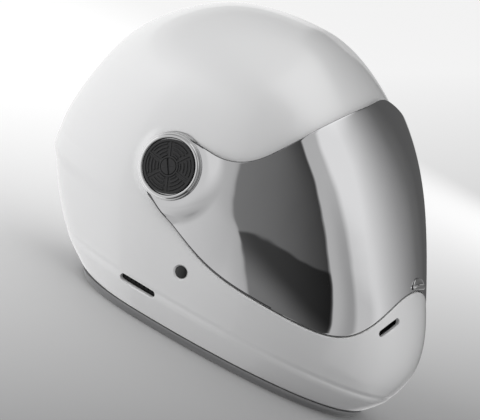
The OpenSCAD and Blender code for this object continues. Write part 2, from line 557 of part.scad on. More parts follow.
place() outer_shell();
place() edge_trim();
place() port_gasket();
place() crown_foam();
place() chin_foam();
place() cheek_foam(false);  // cheek_foam_right
place() cheek_foam(true);  // cheek_foam_left
place() crown_pad();
place() brow_pad();
place() rear_pad();
place() temple_pad(false);  // temple_pad_right
place() temple_pad(true);  // temple_pad_left
place() cheek_pad(false);  // cheek_pad_right
place() cheek_pad(true);  // cheek_pad_left
place() neck_roll();
place() base_plate(false);  // base_plate_right
place() base_plate(true);  // base_plate_left
place() click_spring(false);  // click_spring_right
place() click_spring(true);  // click_spring_left
place() plate_screw(false, -1);  // plate_screw_right_front
place() plate_screw(false, 1);  // plate_screw_right_rear
place() plate_screw(true, -1);  // plate_screw_left_front
place() plate_screw(true, 1);  // plate_screw_left_rear
place() cover_disc(false);  // cover_disc_right
place() cover_disc(true);  // cover_disc_left
place() lock_screw(false);  // lock_screw_right
place() lock_screw(true);  // lock_screw_left
place() strap_rivet(false);  // strap_rivet_right
place() strap_rivet(true);  // strap_rivet_left
place() anchor_plate(false);  // anchor_plate_right
place() anchor_plate(true);  // anchor_plate_left
place() chin_strap_right();
place() chin_strap_left();
place() d_ring(1.9);  // d_ring_upper
place() d_ring(-1.9);  // d_ring_lower
place() vent_mesh(false);  // vent_mesh_right
place() vent_mesh(true);  // vent_mesh_left
place() side_mesh(false);  // side_mesh_right
place() side_mesh(true);  // side_mesh_left
place() visor_lens();
place() visor_tab();
place() hub_ring(false);  // hub_ring_right
place() hub_ring(true);  // hub_ring_left
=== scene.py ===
import bpy
import bmesh
import math
import numpy as np
from mathutils import Matrix, Vector
from mathutils.kdtree import KDTree


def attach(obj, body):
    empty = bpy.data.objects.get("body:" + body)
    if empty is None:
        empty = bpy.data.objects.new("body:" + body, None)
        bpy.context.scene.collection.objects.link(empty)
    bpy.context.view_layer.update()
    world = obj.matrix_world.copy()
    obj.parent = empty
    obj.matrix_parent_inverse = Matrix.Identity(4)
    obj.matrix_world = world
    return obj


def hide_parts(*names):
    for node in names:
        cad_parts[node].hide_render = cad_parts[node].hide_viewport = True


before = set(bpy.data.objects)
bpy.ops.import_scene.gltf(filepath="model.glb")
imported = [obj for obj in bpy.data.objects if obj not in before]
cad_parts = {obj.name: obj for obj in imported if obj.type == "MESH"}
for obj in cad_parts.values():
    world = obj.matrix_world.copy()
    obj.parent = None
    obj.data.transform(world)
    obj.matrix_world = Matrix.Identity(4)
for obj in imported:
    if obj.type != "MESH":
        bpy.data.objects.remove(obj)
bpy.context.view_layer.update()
print("frame loaded")

# the helmet's form, in mm, as in the part's source
form = {
    "stations": [[0, -166, 62, 93.5, -10], [8, -177, 84, 97, -10], [40, -199, 121, 107, -10],
                 [80, -190, 147, 115, -5], [114, -168, 146, 118, 0], [148, -146, 138, 121, 0],
                 [188, -117, 125, 118.5, 0], [229, -73, 89, 90.5, -2], [252, -25, 44, 40, -4],
                 [252, -5, -5, 0, -5]],  # height, front, back, half width, where it is widest
    "power": 2.2, "wall": 3.2, "ledge": 4.2, "crease": 0.6, "tailLip": 2.3,
}
outlines = {  # angle from the front, height
    "lensLow": [[0, 111], [4, 111], [14, 106], [26, 86], [36, 66], [46, 58], [64, 60], [77, 62],
                [85.5, 75.5], [91, 86], [95.8, 94.5]],
    "lensUp": [[0, 223.5], [8, 223], [22, 217.2], [38, 208], [52, 193.2], [64, 171.5], [74, 147],
               [83, 140.5], [88, 143.2], [91.5, 143]],
    "portLow": [[0, 121], [10, 121], [24, 112], [40, 99], [58, 96], [71, 101], [75, 120]],
    "portUp": [[0, 190], [10, 190], [28, 185], [46, 172], [62, 152], [73, 138], [75, 126]],
}
hub = {"y": 7.0, "z": 118.0, "ringR": 25.2, "discR": 20.2, "bossR": 17.6, "lensT": 2.0,
       "proud": 5.8, "lensFar": 44.0, "lensNear": 29.2, "rise": 3.4}


def smooth(a):
    t = np.clip(a, 0, 1)
    return t * t * (3 - 2 * t)


def splineAt(points, u):
    c = np.asarray(points, float)
    k = len(c)
    u = np.clip(np.asarray(u, float), 0, 1)
    knots = np.concatenate([[0] * 3, np.linspace(0, 1, k - 2), [1] * 3])
    span = np.minimum(k - 1, 3 + np.floor(u * (k - 3)).astype(int))
    d = [c[span - 3 + j] for j in range(4)]
    for r in (1, 2, 3):
        for j in range(3, r - 1, -1):
            i = span - 3 + j
            a = ((u - knots[i]) / (knots[i + 4 - r] - knots[i]))[..., None]
            d[j] = (1 - a) * d[j - 1] + a * d[j]
    return d[3]


uTable = np.linspace(0, 1, 2001)
rowTable = splineAt(form["stations"], uTable)
zTable = rowTable[:, 0] + uTable * 1e-6


def uOfZ(z):
    return np.interp(z, zTable, uTable)


def signedPower(v, p):
    return np.sign(v) * np.abs(v) ** p


def surface(u, ph):
    r = splineAt(form["stations"], u)
    a = np.radians(ph)
    c, s, q = np.cos(a), np.sin(a), 2 / form["power"]
    front = r[..., 4] - (r[..., 4] - r[..., 1]) * np.abs(c) ** q
    back = r[..., 4] + (r[..., 2] - r[..., 4]) * np.abs(c) ** q
    x = r[..., 3] * signedPower(s, q)
    return np.stack(np.broadcast_arrays(x, np.where(c > 0, front, back), r[..., 0]), -1)


def unit(v):
    return v / np.maximum(np.linalg.norm(v, axis=-1, keepdims=True), 1e-9)


def normalAt(u, ph):
    u = np.asarray(u, float)
    a = surface(u, ph + 0.6) - surface(u, ph - 0.6)
    b = surface(np.minimum(u + 0.003, 1), ph) - surface(np.maximum(u - 0.003, 0), ph)
    return unit(np.cross(a, b))


def pointAt(z, ph, off=0.0):
    u = uOfZ(z)
    return surface(u, ph) + np.asarray(off)[..., None] * normalAt(u, ph)


def lipOff(z, ph):
    side = np.maximum(0, -np.cos(np.radians(ph))) ** 2.5
    kick = 1.35 * smooth((z - 68) / 11) - 0.35 * smooth((z - 30) / 25)
    return form["tailLip"] * side * np.where(z < 79, kick, np.clip((92 - z) / 13, 0, 1))


def creaseOff(z):
    below = form["crease"] * (1 - (24 - z) * 0.2)
    above = form["crease"] * np.maximum(0, 1 - (z - 24) / 9)
    ridge = 0.16 * np.exp(-((z - 24) / 1.1) ** 2)
    groove = 0.5 * np.exp(-((z - 27) / 2.2) ** 2)
    return np.where(z < 24, below, above) - ridge - groove


midY = (rowTable[:, 1].min() + (rowTable[:, 2] + lipOff(rowTable[:, 0], 180)).max()) / 2


def toWorld(p):
    return (np.asarray(p, float) - [0, midY, 0]) * 0.001


def halfAt(y, z):
    r = splineAt(form["stations"], uOfZ(z))
    t = np.where(y < r[..., 4], (r[..., 4] - y) / (r[..., 4] - r[..., 1]),
                 (y - r[..., 4]) / (r[..., 2] - r[..., 4]))
    return r[..., 3] * np.maximum(1 - np.abs(t) ** form["power"], 0) ** (1 / form["power"])


hub["surfaceX"] = float(halfAt(hub["y"], hub["z"]))
hub["planeX"] = hub["surfaceX"] + 4.6
hub["floorX"] = hub["planeX"] - hub["lensT"] - 2.3


def edgeAt(name, v):
    p = splineAt(outlines[name], np.minimum(np.abs(v), 1))
    return np.where(v < 0, -p[..., 0], p[..., 0]), p[..., 1]


def recessAt(z):
    return form["ledge"] * smooth((146 - z) / 36)


lowTable = splineAt(outlines["lensLow"], np.linspace(0, 1, 60))


def innerOff(ph, z):
    b = np.abs((np.asarray(ph) + 180) % 360 - 180)
    step = smooth((z - (np.interp(b, lowTable[:, 0], lowTable[:, 1]) - 13)) / 10)
    return form["wall"] + form["ledge"] * step * smooth((166 - z) / 36) * smooth((116 - b) / 18)


def gridFaces(n, m, wrap=False, start=0):
    i, j = np.meshgrid(np.arange(n - 1), np.arange(m if wrap else m - 1), indexing="ij")
    a = i * m + j
    b = i * m + (j + 1) % m
    return (np.stack([a, b, b + m, a + m], -1).reshape(-1, 4) + start).tolist()


def makeObject(name, points, faces, mats=(), faceMats=None, flip=False, sharp=None):
    mesh = bpy.data.meshes.new(name)
    if flip:
        faces = [f[::-1] for f in faces]
    mesh.from_pydata(np.asarray(points).reshape(-1, 3).tolist(), [], faces)
    for m in mats:
        mesh.materials.append(m)
    if faceMats is not None:
        mesh.polygons.foreach_set("material_index", np.asarray(faceMats, np.int32))
    mesh.polygons.foreach_set("use_smooth", np.ones(len(mesh.polygons), bool))
    mesh.update()
    obj = bpy.data.objects.new(name, mesh)
    bpy.context.scene.collection.objects.link(obj)
    if sharp:
        markSharp(obj, sharp)
    return obj


def markSharp(obj, degrees):
    bm = bmesh.new()
    bm.from_mesh(obj.data)
    bmesh.ops.recalc_face_normals(bm, faces=bm.faces)
    limit = math.radians(degrees)
    for e in bm.edges:
        e.smooth = not (len(e.link_faces) == 2 and e.calc_face_angle(0) > limit)
    bm.to_mesh(obj.data)
    bm.free()


def closedLoft(rings):
    # rings of equal point count, first and last capped with a fan
    n, m = rings.shape[:2]
    points = rings.reshape(-1, 3)
    faces = gridFaces(n, m, wrap=True)
    ends = np.stack([rings[0].mean(0), rings[-1].mean(0)])
    faces += [[(j + 1) % m, j, n * m] for j in range(m)]
    faces += [[(n - 1) * m + j, (n - 1) * m + (j + 1) % m, n * m + 1] for j in range(m)]
    return np.concatenate([points, ends]), faces


def lathe(name, profile, side, mats, steps=160, offsetX=None, sharp=28):
    # profile: radius and height over the hub plane, closed loop, turned about the pivot's axis
    prof = np.asarray(profile, float)
    a = np.linspace(0, 2 * math.pi, steps, endpoint=False)
    x0 = hub["planeX"] if offsetX is None else offsetX
    x = side * (x0 + prof[:, 1])[:, None] * np.ones(steps)
    y = hub["y"] + prof[:, 0][:, None] * np.cos(a)
    z = hub["z"] + prof[:, 0][:, None] * np.sin(a)
    pts = np.stack([x, y, z], -1)
    n = len(prof)
    faces = []
    for i in range(n):
        k = (i + 1) % n
        for j in range(steps):
            l = (j + 1) % steps
            faces.append([i * steps + j, i * steps + l, k * steps + l, k * steps + j])
    return makeObject(name, toWorld(pts), faces, mats, sharp=sharp)


def newGroup(name, ins, outs):
    tree = bpy.data.node_groups.new(name, "ShaderNodeTree")
    for label, kind, value in ins:
        s = tree.interface.new_socket(label, in_out="INPUT", socket_type=kind)
        if value is not None:
            s.default_value = value
    for label, kind in outs:
        tree.interface.new_socket(label, in_out="OUTPUT", socket_type=kind)
    return tree, tree.nodes.new("NodeGroupInput"), tree.nodes.new("NodeGroupOutput")


def addNode(tree, kind, inputs=None, **props):
    node = tree.nodes.new(kind)
    for key, value in props.items():
        setattr(node, key, value)
    for key, value in (inputs or {}).items():
        if isinstance(value, bpy.types.NodeSocket):
            tree.links.new(value, node.inputs[key])
        else:
            node.inputs[key].default_value = value
    return node


def buildGrain():
    # fine moulded grain: bump height and a mask for colour
    tree, gi, go = newGroup("fineGrain", [("Scale", "NodeSocketFloat", 900.0),
                                          ("Detail", "NodeSocketFloat", 3.0)],
                            [("Height", "NodeSocketFloat"), ("Mask", "NodeSocketFloat")])
    co = addNode(tree, "ShaderNodeTexCoord")
    fine = addNode(tree, "ShaderNodeTexNoise", {"Vector": co.outputs["Object"],
                                                "Scale": gi.outputs["Scale"],
                                                "Detail": gi.outputs["Detail"]})
    broad = addNode(tree, "ShaderNodeTexNoise", {"Vector": co.outputs["Object"], "Scale": 14.0,
                                                 "Detail": 4.0})
    tree.links.new(fine.outputs["Fac"], go.inputs["Height"])
    tree.links.new(broad.outputs["Fac"], go.inputs["Mask"])
    return tree


def buildWeave():
    # knit or webbing from crossed waves
    tree, gi, go = newGroup("weave", [("Threads", "NodeSocketFloat", 700.0),
                                      ("Skew", "NodeSocketFloat", 0.6)],
                            [("Height", "NodeSocketFloat"), ("Mask", "NodeSocketFloat")])
    co = addNode(tree, "ShaderNodeTexCoord")
    a = addNode(tree, "ShaderNodeTexWave", {"Vector": co.outputs["Object"],
                                            "Scale": gi.outputs["Threads"], "Distortion": 0.3},
                wave_type="BANDS", bands_direction="DIAGONAL")
    b = addNode(tree, "ShaderNodeTexWave", {"Vector": co.outputs["Object"],
                                            "Scale": gi.outputs["Threads"], "Distortion": 0.3},
                wave_type="BANDS", bands_direction="Y")
    mix = addNode(tree, "ShaderNodeMath", {0: a.outputs["Fac"], 1: b.outputs["Fac"]},
                  operation="MULTIPLY")
    wear = addNode(tree, "ShaderNodeTexNoise", {"Vector": co.outputs["Object"], "Scale": 30.0,
                                                "Detail": 5.0})
    tree.links.new(mix.outputs[0], go.inputs["Height"])
    tree.links.new(wear.outputs["Fac"], go.inputs["Mask"])
    return tree


grainGroup, weaveGroup = buildGrain(), buildWeave()


def newMaterial(name, color, rough, metal=0.0, coat=0.0, coatRough=0.05, ior=1.5, sheen=0.0,
                spec=0.5):
    m = bpy.data.materials.new(name)
    m.use_nodes = True
    b = m.node_tree.nodes["Principled BSDF"]
    b.inputs["Base Color"].default_value = (*color, 1)
    b.inputs["Roughness"].default_value = rough
    b.inputs["Metallic"].default_value = metal
    b.inputs["Coat Weight"].default_value = coat
    b.inputs["Coat Roughness"].default_value = coatRough
    b.inputs["IOR"].default_value = ior
    b.inputs["Sheen Weight"].default_value = sheen
    b.inputs["Specular IOR Level"].default_value = spec
    return m, m.node_tree, b


def tintAndBump(tree, bsdf, group, values, dark, light, height, distance, rough=None):
    g = addNode(tree, "ShaderNodeGroup", node_tree=group)
    for key, value in values.items():
        g.inputs[key].default_value = value
    ramp = addNode(tree, "ShaderNodeValToRGB", {"Fac": g.outputs["Mask"]})
    ramp.color_ramp.elements[0].position, ramp.color_ramp.elements[1].position = 0.3, 0.7
    ramp.color_ramp.elements[0].color = (*dark, 1)
    ramp.color_ramp.elements[1].color = (*light, 1)
    tree.links.new(ramp.outputs["Color"], bsdf.inputs["Base Color"])
    bump = addNode(tree, "ShaderNodeBump", {"Height": g.outputs["Height"], "Strength": height,
                                            "Distance": distance})
    tree.links.new(bump.outputs["Normal"], bsdf.inputs["Normal"])
    if rough:
        r = addNode(tree, "ShaderNodeMapRange", {"Value": g.outputs["Mask"], "From Min": 0.3,
                                                 "From Max": 0.7, "To Min": rough[0],
                                                 "To Max": rough[1]})
        tree.links.new(r.outputs["Result"], bsdf.inputs["Roughness"])
    return g, ramp, bump


def pearlMaterial():
    s = {"color": (0.80, 0.80, 0.805), "flake": 2600.0, "sparkle": 0.05, "metal": 0.3}
    m, t, b = newMaterial("pearlPaint", s["color"], 0.4, metal=s["metal"], coat=1.0,
                          coatRough=0.035, ior=1.5)
    co = addNode(t, "ShaderNodeTexCoord")
    flake = addNode(t, "ShaderNodeTexVoronoi", {"Vector": co.outputs["Object"],
                                                "Scale": s["flake"]})
    cloud = addNode(t, "ShaderNodeTexNoise", {"Vector": co.outputs["Object"], "Scale": 5.0,
                                              "Detail": 3.0})
    ramp = addNode(t, "ShaderNodeValToRGB", {"Fac": cloud.outputs["Fac"]})
    ramp.color_ramp.elements[0].color = (0.785, 0.787, 0.792, 1)
    ramp.color_ramp.elements[1].color = (0.82, 0.82, 0.822, 1)
    t.links.new(ramp.outputs["Color"], b.inputs["Base Color"])
    r = addNode(t, "ShaderNodeMapRange", {"Value": flake.outputs["Distance"], "From Max": 0.6,
                                          "To Min": 0.36, "To Max": 0.46})
    t.links.new(r.outputs["Result"], b.inputs["Roughness"])
    bump = addNode(t, "ShaderNodeBump", {"Height": flake.outputs["Distance"],
                                         "Strength": s["sparkle"], "Distance": 0.00005})
    t.links.new(bump.outputs["Normal"], b.inputs["Normal"])
    return m


def plastic(name, dark, light, rough, scale=900.0, height=0.25, coat=0.0, spec=0.5):
    m, t, b = newMaterial(name, light, rough[0], coat=coat, coatRough=0.15, spec=spec)
    tintAndBump(t, b, grainGroup, {"Scale": scale}, dark, light, height, 0.0001, rough)
    return m


def fabric(name, dark, light, threads, height=0.6, distance=0.0003, sheen=0.25):
    m, t, b = newMaterial(name, light, 0.85, sheen=sheen)
    tintAndBump(t, b, weaveGroup, {"Threads": threads}, dark, light, height, distance,
                (0.78, 0.95))
    return m


def metalMaterial(name, color, rough, scale=600.0, height=0.04):
    m, t, b = newMaterial(name, color, rough, metal=1.0)
    dark = tuple(c * 0.88 for c in color)
    tintAndBump(t, b, grainGroup, {"Scale": scale}, dark, color, height, 0.00005,
                (rough * 0.8, rough * 1.25))
    return m


def foamMaterial():
    m, t, b = newMaterial("beadedFoam", (0.06, 0.06, 0.062), 0.7)
    co = addNode(t, "ShaderNodeTexCoord")
    bead = addNode(t, "ShaderNodeTexVoronoi", {"Vector": co.outputs["Object"], "Scale": 330.0})
    # each bead is lighter in its middle and darker towards its edge: painted shade between the
    # beads
    ramp = addNode(t, "ShaderNodeValToRGB", {"Fac": bead.outputs["Distance"]})
    ramp.color_ramp.elements[0].color = (0.085, 0.085, 0.088, 1)
    ramp.color_ramp.elements[1].color = (0.03, 0.03, 0.032, 1)
    t.links.new(ramp.outputs["Color"], b.inputs["Base Color"])
    bump = addNode(t, "ShaderNodeBump", {"Height": bead.outputs["Distance"], "Strength": 0.5,
                                         "Distance": 0.0006}, invert=True)
    t.links.new(bump.outputs["Normal"], b.inputs["Normal"])
    return m


def mirrorMaterial():
    s = {"color": (0.80, 0.80, 0.81), "rough": 0.035, "wave": 34.0, "waveDepth": 0.00035}
    m, t, b = newMaterial("mirrorCoat", s["color"], s["rough"], metal=1.0)
    co = addNode(t, "ShaderNodeTexCoord")
    haze = addNode(t, "ShaderNodeTexNoise", {"Vector": co.outputs["Object"], "Scale": 22.0,
                                             "Detail": 6.0})
    r = addNode(t, "ShaderNodeMapRange", {"Value": haze.outputs["Fac"], "From Min": 0.35,
                                          "From Max": 0.7, "To Min": 0.02, "To Max": 0.055})
    t.links.new(r.outputs["Result"], b.inputs["Roughness"])
    wave = addNode(t, "ShaderNodeTexNoise", {"Vector": co.outputs["Object"],
                                             "Scale": s["wave"], "Detail": 1.0})
    bump = addNode(t, "ShaderNodeBump", {"Height": wave.outputs["Fac"], "Strength": 0.5,
                                         "Distance": s["waveDepth"]})
    t.links.new(bump.outputs["Normal"], b.inputs["Normal"])
    return m


shellPaint = pearlMaterial()
shellInside = plastic("shellInside", (0.022, 0.022, 0.023), (0.035, 0.035, 0.036), (0.5, 0.65))
trimRubber = plastic("trimRubber", (0.21, 0.21, 0.213), (0.24, 0.24, 0.243), (0.4, 0.52),
                     500.0, 0.12)
# black rubber of the port gasket, also used as painted shade in the step under the visor's edge
gasketBlackAndGapShade = plastic("gasketBlackAndGapShade", (0.012, 0.012, 0.012), (0.02, 0.02, 0.02), (0.55, 0.7))
discPlastic = plastic("discPlastic", (0.018, 0.018, 0.019), (0.028, 0.028, 0.029), (0.36, 0.5),
                      700.0, 0.18)
platePlastic = plastic("platePlastic", (0.02, 0.02, 0.02), (0.035, 0.035, 0.035), (0.45, 0.6))
meshPlastic = plastic("meshPlastic", (0.008, 0.008, 0.008), (0.014, 0.014, 0.014), (0.5, 0.6))
rivetBlack = plastic("rivetBlack", (0.012, 0.012, 0.013), (0.022, 0.022, 0.023), (0.28, 0.4),
                     500.0, 0.1)
padKnit = fabric("padKnit", (0.026, 0.026, 0.028), (0.048, 0.048, 0.052), 420.0)
padPiping = fabric("padPiping", (0.05, 0.05, 0.053), (0.075, 0.075, 0.08), 900.0)
webbingCloth = fabric("webbingCloth", (0.010, 0.010, 0.011), (0.022, 0.022, 0.024), 300.0, 0.9,
                      0.0004)
threadGrey = fabric("threadGrey", (0.18, 0.18, 0.19), (0.26, 0.26, 0.27), 1500.0)
steel = metalMaterial("steel", (0.55, 0.55, 0.56), 0.3)
brightRing = metalMaterial("brightRing", (0.76, 0.76, 0.765), 0.09, 300.0, 0.02)
mirrorCoat = mirrorMaterial()
# dark inside of the lens, also used along its edge, partly as painted shade of the gap
lensInsideAndEdgeShade, lensTree, lensBsdf = newMaterial("lensInsideAndEdgeShade", (0.03, 0.03, 0.032), 0.12, coat=1.0)
tintAndBump(lensTree, lensBsdf, grainGroup, {"Scale": 60.0}, (0.022, 0.022, 0.024),
            (0.035, 0.035, 0.038), 0.02, 0.0001, (0.1, 0.16))
foamBeads = foamMaterial()
print("materials made")

shellSize = {"columns": 360, "outerRows": 150, "innerRows": 60, "bottom": 6.6}


def hubBlend(p):
    # the wall rises to a flat seat round each pivot
    d = np.hypot(p[..., 1] - hub["y"], p[..., 2] - hub["z"])
    w = smooth((31.5 - d) / 5) * (p[..., 1] > -60)
    x = np.abs(p[..., 0])
    lifted = np.where(x < hub["floorX"], x * (1 - w) + hub["floorX"] * w, x)
    return np.stack([np.sign(p[..., 0]) * lifted, p[..., 1], p[..., 2]], -1)


def regionCutter(name, low, up, levels, columns=260, rows=40, upMargin=True):
    # closed cutter over the patch between two outlines: levels run from inside to outside
    v = np.linspace(-1, 1, columns)
    lowPh, lowZ = edgeAt(low, v)
    upPh, upZ = edgeAt(up, v)
    loopPh = np.concatenate([lowPh, upPh[::-1]])
    loopZ = np.concatenate([lowZ, upZ[::-1]])

    def moved(m):
        p = pointAt(loopZ, loopPh)
        tangent = unit(np.roll(p, -1, 0) - np.roll(p, 1, 0))
        out = np.cross(tangent, normalAt(uOfZ(loopZ), loopPh))
        a = (pointAt(loopZ, loopPh + 0.5) - pointAt(loopZ, loopPh - 0.5))
        b = (pointAt(loopZ + 0.5, loopPh) - pointAt(loopZ - 0.5, loopPh))
        aa, ab, bb = (a * a).sum(-1), (a * b).sum(-1), (b * b).sum(-1)
        oa, ob = (out * a).sum(-1), (out * b).sum(-1)
        det = aa * bb - ab * ab
        margin = np.full(len(loopZ), float(m))
        if not upMargin:
            margin[columns:] = 0
        return (loopPh + margin * (oa * bb - ob * ab) / det,
                loopZ + margin * (ob * aa - oa * ab) / det)

    def patch(m, off):
        ph, z = moved(m)
        t = np.linspace(0, 1, rows)[:, None]
        gp = ph[:columns] * (1 - t) + ph[columns:][::-1] * t
        gz = z[:columns] * (1 - t) + z[columns:][::-1] * t
        return pointAt(gz, gp, off(gp, gz))

    def ring(g):
        return np.concatenate([g[0, :-1], g[:-1, -1], g[-1, :0:-1], g[:0:-1, 0]])

    grids = [patch(m, off) for m, off in levels]
    n, m = grids[0].shape[:2]
    pts = [grids[0].reshape(-1, 3), grids[-1].reshape(-1, 3)]
    index = np.arange(n * m).reshape(n, m)
    first = ring(index[..., None])[:, 0]
    faces = gridFaces(n, m) + [f[::-1] for f in gridFaces(n, m, start=n * m)]
    base, previous = 2 * n * m, first
    for g in grids[1:-1]:
        pts.append(ring(g))
        current = base + np.arange(len(first))
        base += len(first)
        k = len(first)
        faces += [[previous[j], current[j], current[(j + 1) % k], previous[(j + 1) % k]]
                  for j in range(k)]
        previous = current
    last = first + n * m
    k = len(first)
    faces += [[previous[j], last[j], last[(j + 1) % k], previous[(j + 1) % k]] for j in range(k)]
    return cutterObject(name, np.concatenate(pts), faces)


def cutterObject(name, pts, faces):
    obj = makeObject(name, toWorld(pts), [list(map(int, f)) for f in faces])
    bm = bmesh.new()
    bm.from_mesh(obj.data)
    bmesh.ops.recalc_face_normals(bm, faces=bm.faces)
    bm.to_mesh(obj.data)
    bm.free()
    return obj


def levelRings(centreZ, centrePh, length, width, tilt, levels, steps=40):
    # stadium or round outline on the form, a ring for each depth
    p0 = pointAt(centreZ, centrePh)
    n = normalAt(uOfZ(centreZ), centrePh)
    e = unit(pointAt(centreZ, centrePh + 1.0) - pointAt(centreZ, centrePh - 1.0))
    f = np.cross(n, e)
    t = math.radians(tilt)
    along, across = e * math.cos(t) + f * math.sin(t), -e * math.sin(t) + f * math.cos(t)
    a = np.linspace(0, 2 * math.pi, steps, endpoint=False)
    rings = []
    for grow, depth in levels:
        r = width / 2 + grow
        x = r * np.cos(a) + np.where(np.cos(a) >= 0, 1, -1) * (length - width) / 2
        rings.append(p0 + n * depth + x[:, None] * along + (r * np.sin(a))[:, None] * across)
    return np.array(rings)


def hubCutter(side):
    a = np.linspace(0, 2 * math.pi, 160, endpoint=False)
    r = hub["ringR"] + 1.1
    rings = []
    for grow, x in ((0, 0), (0, 0.5), (0.15, 0.9), (0.5, 1.3), (1.0, 1.6), (1.0, 30)):
        rings.append(np.stack([np.full(160, side * (hub["floorX"] + x)),
                               hub["y"] + (r + grow) * np.cos(a),
                               hub["z"] + (r + grow) * np.sin(a)], -1))
    return cutterObject("hubCutter", *closedLoft(np.array(rings)))


def cut(obj, cutters):
    for c in cutters:
        mod = obj.modifiers.new("cut", "BOOLEAN")
        mod.operation, mod.solver, mod.object = "DIFFERENCE", "MANIFOLD", c
    dg = bpy.context.evaluated_depsgraph_get()
    mesh = bpy.data.meshes.new_from_object(obj.evaluated_get(dg))
    obj.modifiers.clear()
    obj.data = mesh
    for c in cutters:
        bpy.data.objects.remove(c)


def paintLedgeGapShade(obj):
    # painted shade: the step along the visor's lower edge is coloured black so the gap there reads
    # as a dark line
    v = np.linspace(-1, 1, 1600)
    spots = KDTree(len(v) * 7)
    for k in range(7):
        ph, z = edgeAt("lensLow", v)
        depth = 0.7 + 0.5 * k
        for i, p in enumerate(toWorld(pointAt(z, ph, -depth * np.ones_like(v)))):
            spots.insert(Vector(p), k * len(v) + i)
    spots.balance()
    # faces of that step take the black gasket colour as painted shade
    obj.data.materials.append(gasketBlackAndGapShade)
    centres = np.zeros(len(obj.data.polygons) * 3)
    obj.data.polygons.foreach_get("center", centres)
    low = outlines["lensLow"][0][1] + 12
    for face, c in zip(obj.data.polygons, centres.reshape(-1, 3)):
        if c[2] * 1000 < low and spots.find(Vector(c))[2] < 0.0016:
            face.material_index = 2


def buildShell():
    n = shellSize["columns"]
    ph = np.linspace(0, 360, n, endpoint=False)
    zLow, zTop = shellSize["bottom"], 241.0
    zs = np.concatenate([np.linspace(zLow, 22.5, 12), np.linspace(22.8, 25.2, 9),
                         np.linspace(26, zTop, shellSize["outerRows"] - 40)])
    zs = np.unique(np.concatenate([zs, np.linspace(25.5, 31, 12), np.linspace(66, 94, 29)]))
    us = np.concatenate([uOfZ(zs), np.linspace(uOfZ(zTop), 0.9985, 20)[1:]])
    u, p = np.meshgrid(us, ph, indexing="ij")
    z = splineAt(form["stations"], u)[..., 0]
    outer = surface(u, p) + (creaseOff(z) + lipOff(z, p))[..., None] * normalAt(u, p)
    outer = hubBlend(outer)
    iu = np.concatenate([uOfZ(np.linspace(3.0, 238, shellSize["innerRows"])),
                         np.linspace(uOfZ(238), 0.998, 12)[1:]])
    u2, p2 = np.meshgrid(iu, ph, indexing="ij")
    z2 = splineAt(form["stations"], u2)[..., 0]
    inner = surface(u2, p2) - innerOff(p2, z2)[..., None] * normalAt(u2, p2)
    inner[0, :, 2] = zLow
    # the wall is full behind the hub seats
    d = np.hypot(inner[..., 1] - hub["y"], inner[..., 2] - hub["z"])
    w = smooth((33 - d) / 5)
    seat = hub["floorX"] - 7.5
    inner[..., 0] = np.sign(inner[..., 0]) * (np.abs(inner[..., 0]) * (1 - w)
                                              + np.minimum(np.abs(inner[..., 0]), seat) * w)
    lip = outer[0] * 0.5 + inner[0] * 0.5
    lip[:, 2] = zLow
    rows = [inner[::-1], lip[None], outer]
    pts = np.concatenate([r.reshape(-1, 3) for r in rows])
    total = sum(len(r) for r in rows)
    faces = gridFaces(total, n, wrap=True)
    nIn = len(inner)
    top = np.array([[0, -5, 252 - form["wall"]], [0, -5, 252.0]])
    k = total * n
    faces += [[j, k, (j + 1) % n] for j in range(n)]
    faces += [[(total - 1) * n + j, (total - 1) * n + (j + 1) % n, k + 1] for j in range(n)]
    mats = [1] * (nIn * n) + [0] * ((total - 1 - nIn) * n) + [1] * n + [0] * n
    pts = np.concatenate([pts, top])
    obj = makeObject("shell", toWorld(pts), faces, [shellPaint, shellInside], mats)
    bm = bmesh.new()
    bm.from_mesh(obj.data)
    bmesh.ops.recalc_face_normals(bm, faces=bm.faces)
    bm.to_mesh(obj.data)
    bm.free()

    def floorOff(ph, z):
        return -recessAt(z) + 0.35 * smooth((z - 136) / 10)

    def atLeast(level, k):
        return lambda ph, z: np.maximum(level, floorOff(ph, z) + 0.03 * k)

    ledge = regionCutter("ledgeCutter", "lensLow", "lensUp",
                         [(1.1, floorOff), (1.1, atLeast(-0.9, 1)), (1.17, atLeast(-0.5, 2)),
                          (1.35, atLeast(-0.2, 3)), (1.75, atLeast(0.0, 4)),
                          (2.6, atLeast(0.35, 5)), (2.6, lambda ph, z: 14 + 0 * z)],
                         upMargin=False)

    def below(level):
        return lambda ph, z: -recessAt(z) + level

    port = regionCutter("portCutter", "portLow", "portUp",
                        [(0.7, below(-16)), (0.7, below(-form["wall"] - 0.5)),
                         (0, below(-form["wall"] + 0.3)), (0, below(-0.7)),
                         (0.1, below(-0.35)), (0.5, below(-0.05)), (1.2, below(0.5)),
                         (1.2, below(12))])
    cutters = [ledge, port]
    flare = [(0, -16), (0, -1.1), (0.12, -0.6), (0.45, -0.15), (1.3, 0.35), (1.3, 6)]
    for side in (-1, 1):
        cutters.append(hubCutter(side))
        sets = ((24.5, 92.5 * side, 32, 5.2, 0, flare), (83, 20.5 * side, 23, 5, -42 * side, flare),
                (51, 84 * side, 6, 6, 0, [(0, -14), (0, -1.8)]),
                (51, 84 * side, 9.8, 9.8, 0,
                 [(0, -1.8), (0, -1.25), (0.16, -1.05), (0.85, -0.42), (1.0, -0.2), (1.35, 0.05),
                  (1.8, 0.3), (1.8, 5)]))
        for z0, p0, length, width, tilt, levels in sets:
            cutters.append(cutterObject("holeCutter", *closedLoft(
                levelRings(z0, p0, length, width, tilt, levels))))
    cut(obj, cutters)
    markSharp(obj, 32)
    # painted shade in the step under the visor's lower edge
    paintLedgeGapShade(obj)
    return obj


shell = buildShell()
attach(shell, "helmet")
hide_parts("outer_shell")
print("shell built", len(shell.data.polygons))

lensSize = {"columns": 372, "rows": 130, "round": 0.55, "trimR": 22.0}


